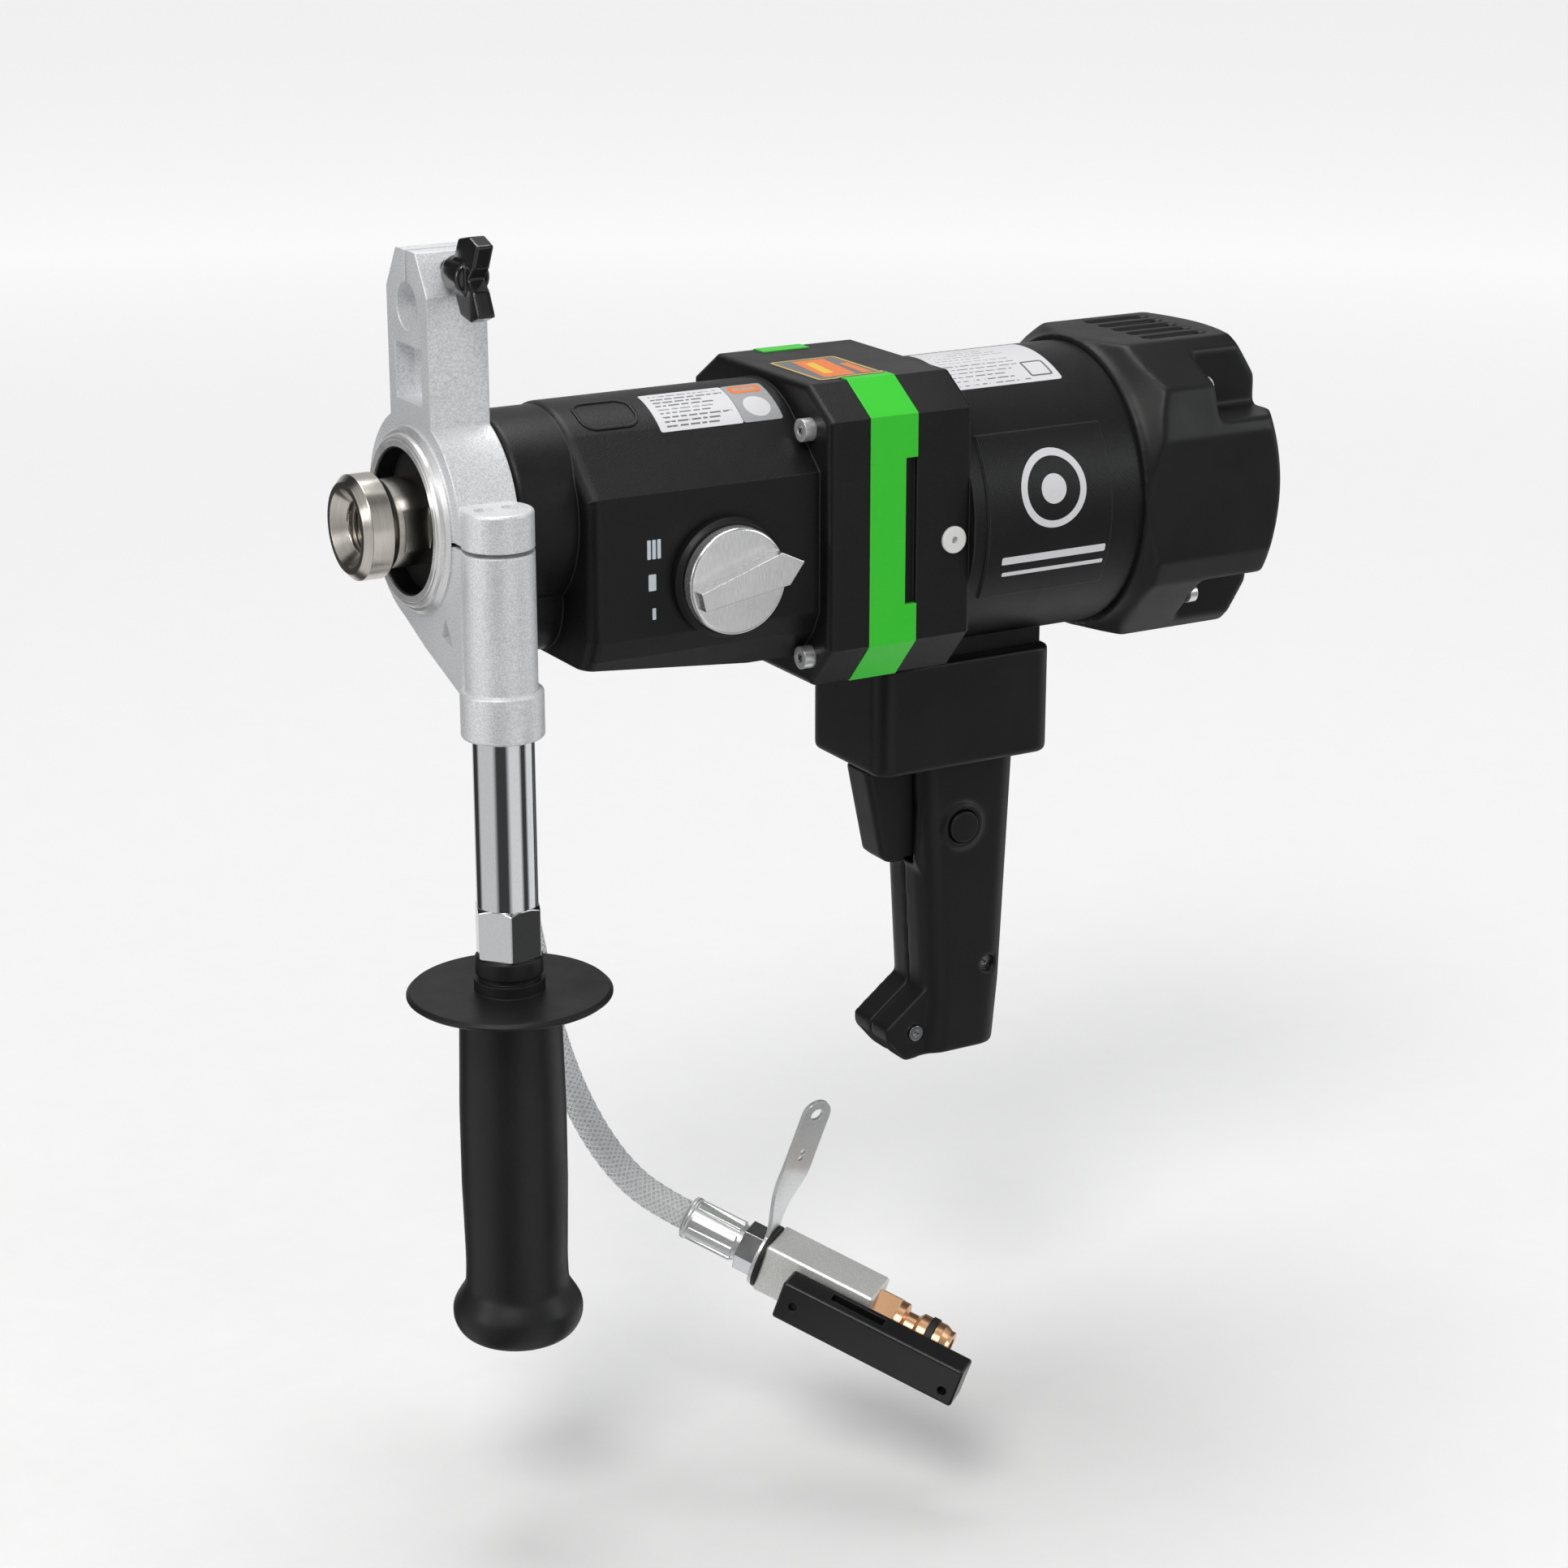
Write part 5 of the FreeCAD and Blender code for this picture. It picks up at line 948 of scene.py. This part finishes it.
def softened(name, voxel, passes):
    """A copy of a CAD part with its edges rounded all over, as a moulding has."""
    copy = linked(f"soft_{name}", tidy_normals(NODES[name].data.copy()))
    skin = copy.modifiers.new("skin", "REMESH")
    skin.mode, skin.voxel_size = "VOXEL", voxel
    ease = copy.modifiers.new("ease", "SMOOTH")
    ease.factor, ease.iterations = 0.5, passes
    made = evaluated_mesh(copy)
    bpy.data.objects.remove(copy)
    made.name = f"soft_{name}"
    made.polygons.foreach_set("use_smooth", [True] * len(made.polygons))
    return made


def revolved(name, profile, centre, along, steps=96, smooth=False):
    """Closed ring from (distance along, radius) corners turned round an axis."""
    side = along.orthogonal().normalized()
    up, count = along.cross(side), len(profile)
    verts, faces = [], []
    for x, r in profile:
        verts += [centre + along * x + (side * math.cos(a) + up * math.sin(a)) * r
                  for a in (2 * math.pi * k / steps for k in range(steps))]
    for j in range(count):
        a, b = steps * j, steps * ((j + 1) % count)
        faces += [(a + k, a + (k + 1) % steps, b + (k + 1) % steps, b + k) for k in range(steps)]
    return tidy_normals(mesh_of(name, verts, faces, smooth))


def drilled(mesh, holes):
    """A mesh with round holes cut through it: each hole is (centre, way, radius)."""
    body = linked("blank", mesh)
    cutters = []
    for centre, way, radius in holes:
        cut = bpy.data.meshes.new("cutter")
        work = bmesh.new()
        bmesh.ops.create_cone(work, cap_ends=True, segments=40, radius1=radius, radius2=radius,
                              depth=10 * MM, matrix=Matrix.Translation(centre)
                              @ way.to_track_quat("Z", "Y").to_matrix().to_4x4())
        work.to_mesh(cut)
        work.free()
        cutter = linked("cutter", cut)
        made = body.modifiers.new("hole", "BOOLEAN")
        made.operation, made.object, made.solver = "DIFFERENCE", cutter, "EXACT"
        cutters.append(cutter)
    out = evaluated_mesh(body)
    for thing in [body, *cutters]:
        bpy.data.objects.remove(thing)
    return out


class MakeBracketLip(bpy.types.Operator):
    """Turned lip with concentric steps round the bracket's front opening"""
    bl_idname = "drill.make_bracket_lip"
    bl_label = "Bracket lip"

    def execute(self, context):
        steps = [(-4.65, 26.5), (-4.65, 28.6), (-4.35, 28.9), (-4.35, 29.9), (-3.6, 30.7),
                 (-2.4, 31.0), (-2.4, 32.0), (-1.0, 33.4), (-1.0, 30.25), (-4.05, 30.25),
                 (-4.05, 26.5)]
        lip = revolved("bracket_lip", [(x * MM, r * MM) for x, r in steps], Vector(),
                       Vector((1, 0, 0)))
        keep_mesh("bracket_lip", lip, "lip", "clamp_bracket", "cast_aluminium")
        return {"FINISHED"}


class MakeStrap(bpy.types.Operator):
    """Strap that hangs up the hose's end: a ring with a long leaf, twisted and holed"""
    bl_idname = "drill.make_strap"
    bl_label = "Retaining strap"

    def execute(self, context):
        end = Vector(HOSE_ROUTE[-1])
        along = (end - Vector(HOSE_ROUTE[-2])).normalized()
        across = Vector((along.y, -along.x, 0)).normalized()
        rise = across.cross(along)
        start, thick, half, tip = 32 * MM, 1.6 * MM, 5.9 * MM, 65 * MM
        twist_from, twist_over, full_twist, dip = 13 * MM, 26 * MM, math.radians(36), 0.8 * MM

        def place(u, v, w):
            share = min(1, max(0, (u - twist_from) / twist_over))
            twist = full_twist * share * share * (3 - 2 * share)
            lean = -dip * math.sin(math.pi * share)
            flat = across * math.cos(twist) - along * math.sin(twist)
            out = along * math.cos(twist) + across * math.sin(twist)
            return end + along * (start + thick / 2 + lean) + rise * u + flat * v + out * w

        root, round_off = 7 * MM, [math.radians(-90 + 7.5 * k) for k in range(25)]
        outline = [(root, -half), *((tip + half * math.cos(a), half * math.sin(a))
                                    for a in round_off), (root, half)]
        leaf = sheet_mesh("leaf", [outline], place, -thick / 2, thick / 2)
        holes = [(place(u, 0, 0), place(u, 0, MM) - place(u, 0, 0), r)
                 for u, r in ((tip, 2.6 * MM), (tip - 17 * MM, 1.3 * MM),
                              (tip - 20 * MM, 1.3 * MM))]
        leaf = drilled(leaf, holes)
        bore, rim, chamfer = 5.2 * MM, 12.2 * MM, (0.3 * MM, 0.2 * MM)
        stop = start + thick
        ring = revolved("ring", [(start, bore), (start, rim - chamfer[1]),
                                 (start + chamfer[0], rim), (stop - chamfer[0], rim),
                                 (stop, rim - chamfer[1]), (stop, bore)], end, along)
        piece = keep_mesh("hanging_strap", joined("hanging_strap", [leaf, ring]), "bright",
                          "housing", "bright_aluminium")
        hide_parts("retaining_strap")
        return {"FINISHED"}


class MakeMouldings(bpy.types.Operator):
    """Plastic and rubber mouldings with their edges rounded all over"""
    bl_idname = "drill.make_mouldings"
    bl_label = "Mouldings"

    # Part: (cell of the new skin, smoothing passes, finish, body, slot).
    PARTS = {
        "handle_grip": (1.0 * MM, 24, "grip", "side_handle", "black_rubber"),
        "wing_screw": (0.45 * MM, 9, "gloss", "wing_screw", "black_plastic"),
        "rear_cover": (1.1 * MM, 9, "moulding", "housing", "black_plastic"),
        "electronics_box": (0.9 * MM, 9, "moulding", "housing", "black_plastic"),
        "grip_shell_left": (0.8 * MM, 18, "moulding", "housing", "black_plastic"),
        "grip_shell_right": (0.8 * MM, 18, "moulding", "housing", "black_plastic"),
        "trigger": (0.5 * MM, 12, "moulding", "trigger", "black_plastic"),
    }

    def execute(self, context):
        for part, (cell, passes, finish_name, body, slot) in self.PARTS.items():
            piece = keep_mesh(f"moulded_{part}", softened(part, cell, passes), finish_name, body,
                              slot)
            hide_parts(part)
        return {"FINISHED"}


class MakeScrewDrives(bpy.types.Operator):
    """Dark cross on each casing screw's head: painted shade of its cross recess, as a thin dark
    block
    """
    bl_idname = "drill.make_screw_drives"
    bl_label = "Screw recesses"

    def execute(self, context):
        spots = []
        for low, high in islands("casing_screws"):
            middle = (low + high) / 2
            front = middle.x < BETWEEN_SCREWS
            out = Vector((-1 if front else 1, 0, 0))
            face = Vector((low.x if front else high.x, middle.y, middle.z)) + out * 0.02 * MM
            spots += [(face, out, Vector((0, 1, slope)).normalized(), (1, 1, 1))
                      for slope in (1, -1)]
        # Each thin dark block is painted shade: it stands for the shade inside the screw's cross
        # recess.
        repeat_shape("screw_recesses", block_mesh("slot", (2.8 * MM, 0.6 * MM, 0.14 * MM)), spots,
                     "shadow", "chromed_steel")
        return {"FINISHED"}


# Light and dark fields round the room, by share of a turn.
GLOSS_FIELDS = [(0.0, 0.75), (0.07, 0.75), (0.11, 0.06), (0.20, 0.06), (0.24, 0.9), (0.33, 0.9),
                (0.36, 0.06), (0.40, 0.06), (0.43, 0.95), (0.52, 0.95), (0.56, 0.08), (0.61, 0.08),
                (0.64, 0.9), (0.74, 0.9), (0.78, 0.05), (0.86, 0.05), (0.90, 0.75)]


def set_ramp(ramp, stops):
    """Greys of a ramp, in order."""
    ramp.elements[0].position, ramp.elements[1].position = stops[0][0], stops[-1][0]
    for element, grey in ((ramp.elements[0], stops[0][1]), (ramp.elements[1], stops[-1][1])):
        element.color = (grey, grey, grey, 1)
    for at, grey in stops[1:-1]:
        ramp.elements.new(at).color = (grey, grey, grey, 1)


# The camera: its lens and where it stands, in metres, then its right, up and back.
CAMERA_LENS, CAMERA_AT = 78.26, (-0.4722, -1.0784, 0.2824)
CAMERA_AXES = (Vector((0.866, -0.5, 0.0)), Vector((0.1545, 0.2676, 0.951)),
               Vector((-0.4755, -0.8236, 0.309)))
# The tool hangs as if held: the valve lever can point straight down over the floor.
FLOOR_DROP, FLOOR_REACH = 48 * MM, 16.0


class MakeStage(bpy.types.Operator):
    """Pale floor, soft lights and the camera"""
    bl_idname = "drill.make_stage"
    bl_label = "Stage and camera"

    def execute(self, context):
        scene = context.scene
        self.lay_floor(CAD_BOX[0][2] - FLOOR_DROP)
        self.light("key", (-1.1, -1.2, 1.9), (0.12, 0.0, -0.02), 1.1, 30, (1, 0.985, 0.96))
        self.light("side", (1.9, -1.5, 0.7), (0.15, 0.0, -0.05), 0.9, 9, (0.95, 0.98, 1))
        self.light("top", (0.3, 0.5, 1.9), (0.15, 0.0, 0.0), 1.4, 22, (1, 1, 1))
        self.light("front", (-1.9, -0.1, 0.5), (0.0, 0.0, 0.0), 0.8, 7, (1, 1, 1))
        self.studio(scene)
        view = bpy.data.cameras.new("camera")
        view.sensor_width, view.lens, view.clip_start = 36.0, CAMERA_LENS, 0.01
        turn = Matrix(CAMERA_AXES).transposed().to_4x4()
        turn.translation = CAMERA_AT
        made = linked("camera", view)
        made.matrix_world = turn
        scene.camera = made
        scene.view_settings.view_transform = "Standard"
        return {"FINISHED"}

    def studio(self, scene):
        """Pale room that reflects as light walls with dark gaps between them."""
        world = bpy.data.worlds.new("Studio")
        scene.world = world
        world.use_nodes = True
        tree = world.node_tree
        back = tree.nodes["Background"]
        place = add_node(tree, "ShaderNodeTexCoord")
        round_room = add_node(tree, "ShaderNodeTexGradient", {"Vector": place.outputs["Generated"]},
                              gradient_type="RADIAL")
        walls = add_node(tree, "ShaderNodeValToRGB", {"Fac": round_room.outputs["Fac"]})
        set_ramp(walls.color_ramp, GLOSS_FIELDS)
        seen = add_node(tree, "ShaderNodeLightPath")
        wall = add_node(tree, "ShaderNodeMix", {
            "Factor": seen.outputs["Is Camera Ray"], "A": walls.outputs["Color"],
            "B": (1.9, 1.9, 1.9, 1)}, data_type="RGBA")
        tree.links.new(wall.outputs["Result"], back.inputs["Color"])
        back.inputs["Strength"].default_value = 0.5

    def floor_finish(self):
        """Pale floor that stays pale far away and reflects in gloss as light and dark fields."""
        made = finish("Floor", (0.86, 0.86, 0.865), (0.7, 0.8), grain=(60, 0.00002), mottle=0.01)
        tree = made.node_tree
        plain = tree.nodes["Principled BSDF"]
        leave = tree.nodes["Material Output"]
        place = add_node(tree, "ShaderNodeTexCoord")
        far = add_node(tree, "ShaderNodeVectorMath", {0: place.outputs["Object"]},
                       operation="LENGTH")
        lift = add_node(tree, "ShaderNodeMapRange", {
            "Value": far.outputs["Value"], "From Min": 0.4, "From Max": 3.0, "To Min": 0.06,
            "To Max": 0.62})
        seen = add_node(tree, "ShaderNodeLightPath")
        shown = add_node(tree, "ShaderNodeMath", {
            0: lift.outputs["Result"], 1: seen.outputs["Is Camera Ray"]}, operation="MULTIPLY")
        tree.links.new(shown.outputs["Value"], plain.inputs["Emission Strength"])
        plain.inputs["Emission Color"].default_value = (1, 1, 1, 1)
        around = add_node(tree, "ShaderNodeTexGradient", {"Vector": place.outputs["Object"]},
                          gradient_type="RADIAL")
        fields = add_node(tree, "ShaderNodeValToRGB", {"Fac": around.outputs["Fac"]})
        set_ramp(fields.color_ramp, GLOSS_FIELDS)
        glow = add_node(tree, "ShaderNodeEmission", {"Color": fields.outputs["Color"],
                                                     "Strength": 0.8})
        both = add_node(tree, "ShaderNodeMixShader", {
            "Fac": seen.outputs["Is Glossy Ray"], 1: plain.outputs["BSDF"],
            2: glow.outputs["Emission"]})
        tree.links.new(both.outputs["Shader"], leave.inputs["Surface"])
        return made

    def light(self, name, place, target, size, power, colour):
        """A soft round light that looks at a target."""
        lamp = bpy.data.lights.new(name, "AREA")
        lamp.shape, lamp.size, lamp.energy, lamp.color = "DISK", size, power, colour
        made = linked(name, lamp)
        made.location = place
        aim = Vector(target) - Vector(place)
        made.rotation_euler = aim.to_track_quat("-Z", "Y").to_euler()

    def lay_floor(self, low):
        """Floor far wider than the drill, the same from every side."""
        ends = (-FLOOR_REACH, FLOOR_REACH)
        mesh = mesh_of("floor", [(x, y, low) for y in ends for x in ends], [(0, 1, 3, 2)],
                       smooth=False)
        mesh.materials.append(self.floor_finish())
        linked("floor", mesh)


OPERATORS = [DressFrame, MakeStrap, MakeHose, MakeStickers, MakeMarks, MakeThread, MakeCrimps,
             MakeBracketLip, MakeMouldings, MakeScrewDrives, MakeStage]


class DrillPanel(bpy.types.Panel):
    """Colours, sizes and pieces of the drill"""
    bl_idname = "DRILL_PT_pieces"
    bl_label = "Core drill"
    bl_space_type = "VIEW_3D"
    bl_region_type = "UI"
    bl_category = "Core drill"

    def draw(self, context):
        for group in (context.scene.drill_colours, context.scene.drill_sizes):
            for name in group.bl_rna.properties.keys():
                if name not in ("rna_type", "name"):
                    self.layout.prop(group, name)
        for maker in OPERATORS:
            self.layout.operator(maker.bl_idname)


CLASSES = [DrillColours, DrillSizes, *OPERATORS, DrillPanel]


def register():
    for thing in CLASSES:
        bpy.utils.register_class(thing)
    bpy.types.Scene.drill_colours = bpy.props.PointerProperty(type=DrillColours)
    bpy.types.Scene.drill_sizes = bpy.props.PointerProperty(type=DrillSizes)


def unregister():
    del bpy.types.Scene.drill_colours, bpy.types.Scene.drill_sizes
    for thing in reversed(CLASSES):
        bpy.utils.unregister_class(thing)


def main():
    register()
    for maker in OPERATORS:
        group, name = maker.bl_idname.split(".")
        getattr(getattr(bpy.ops, group), name)()


if __name__ == "__main__":
    main()
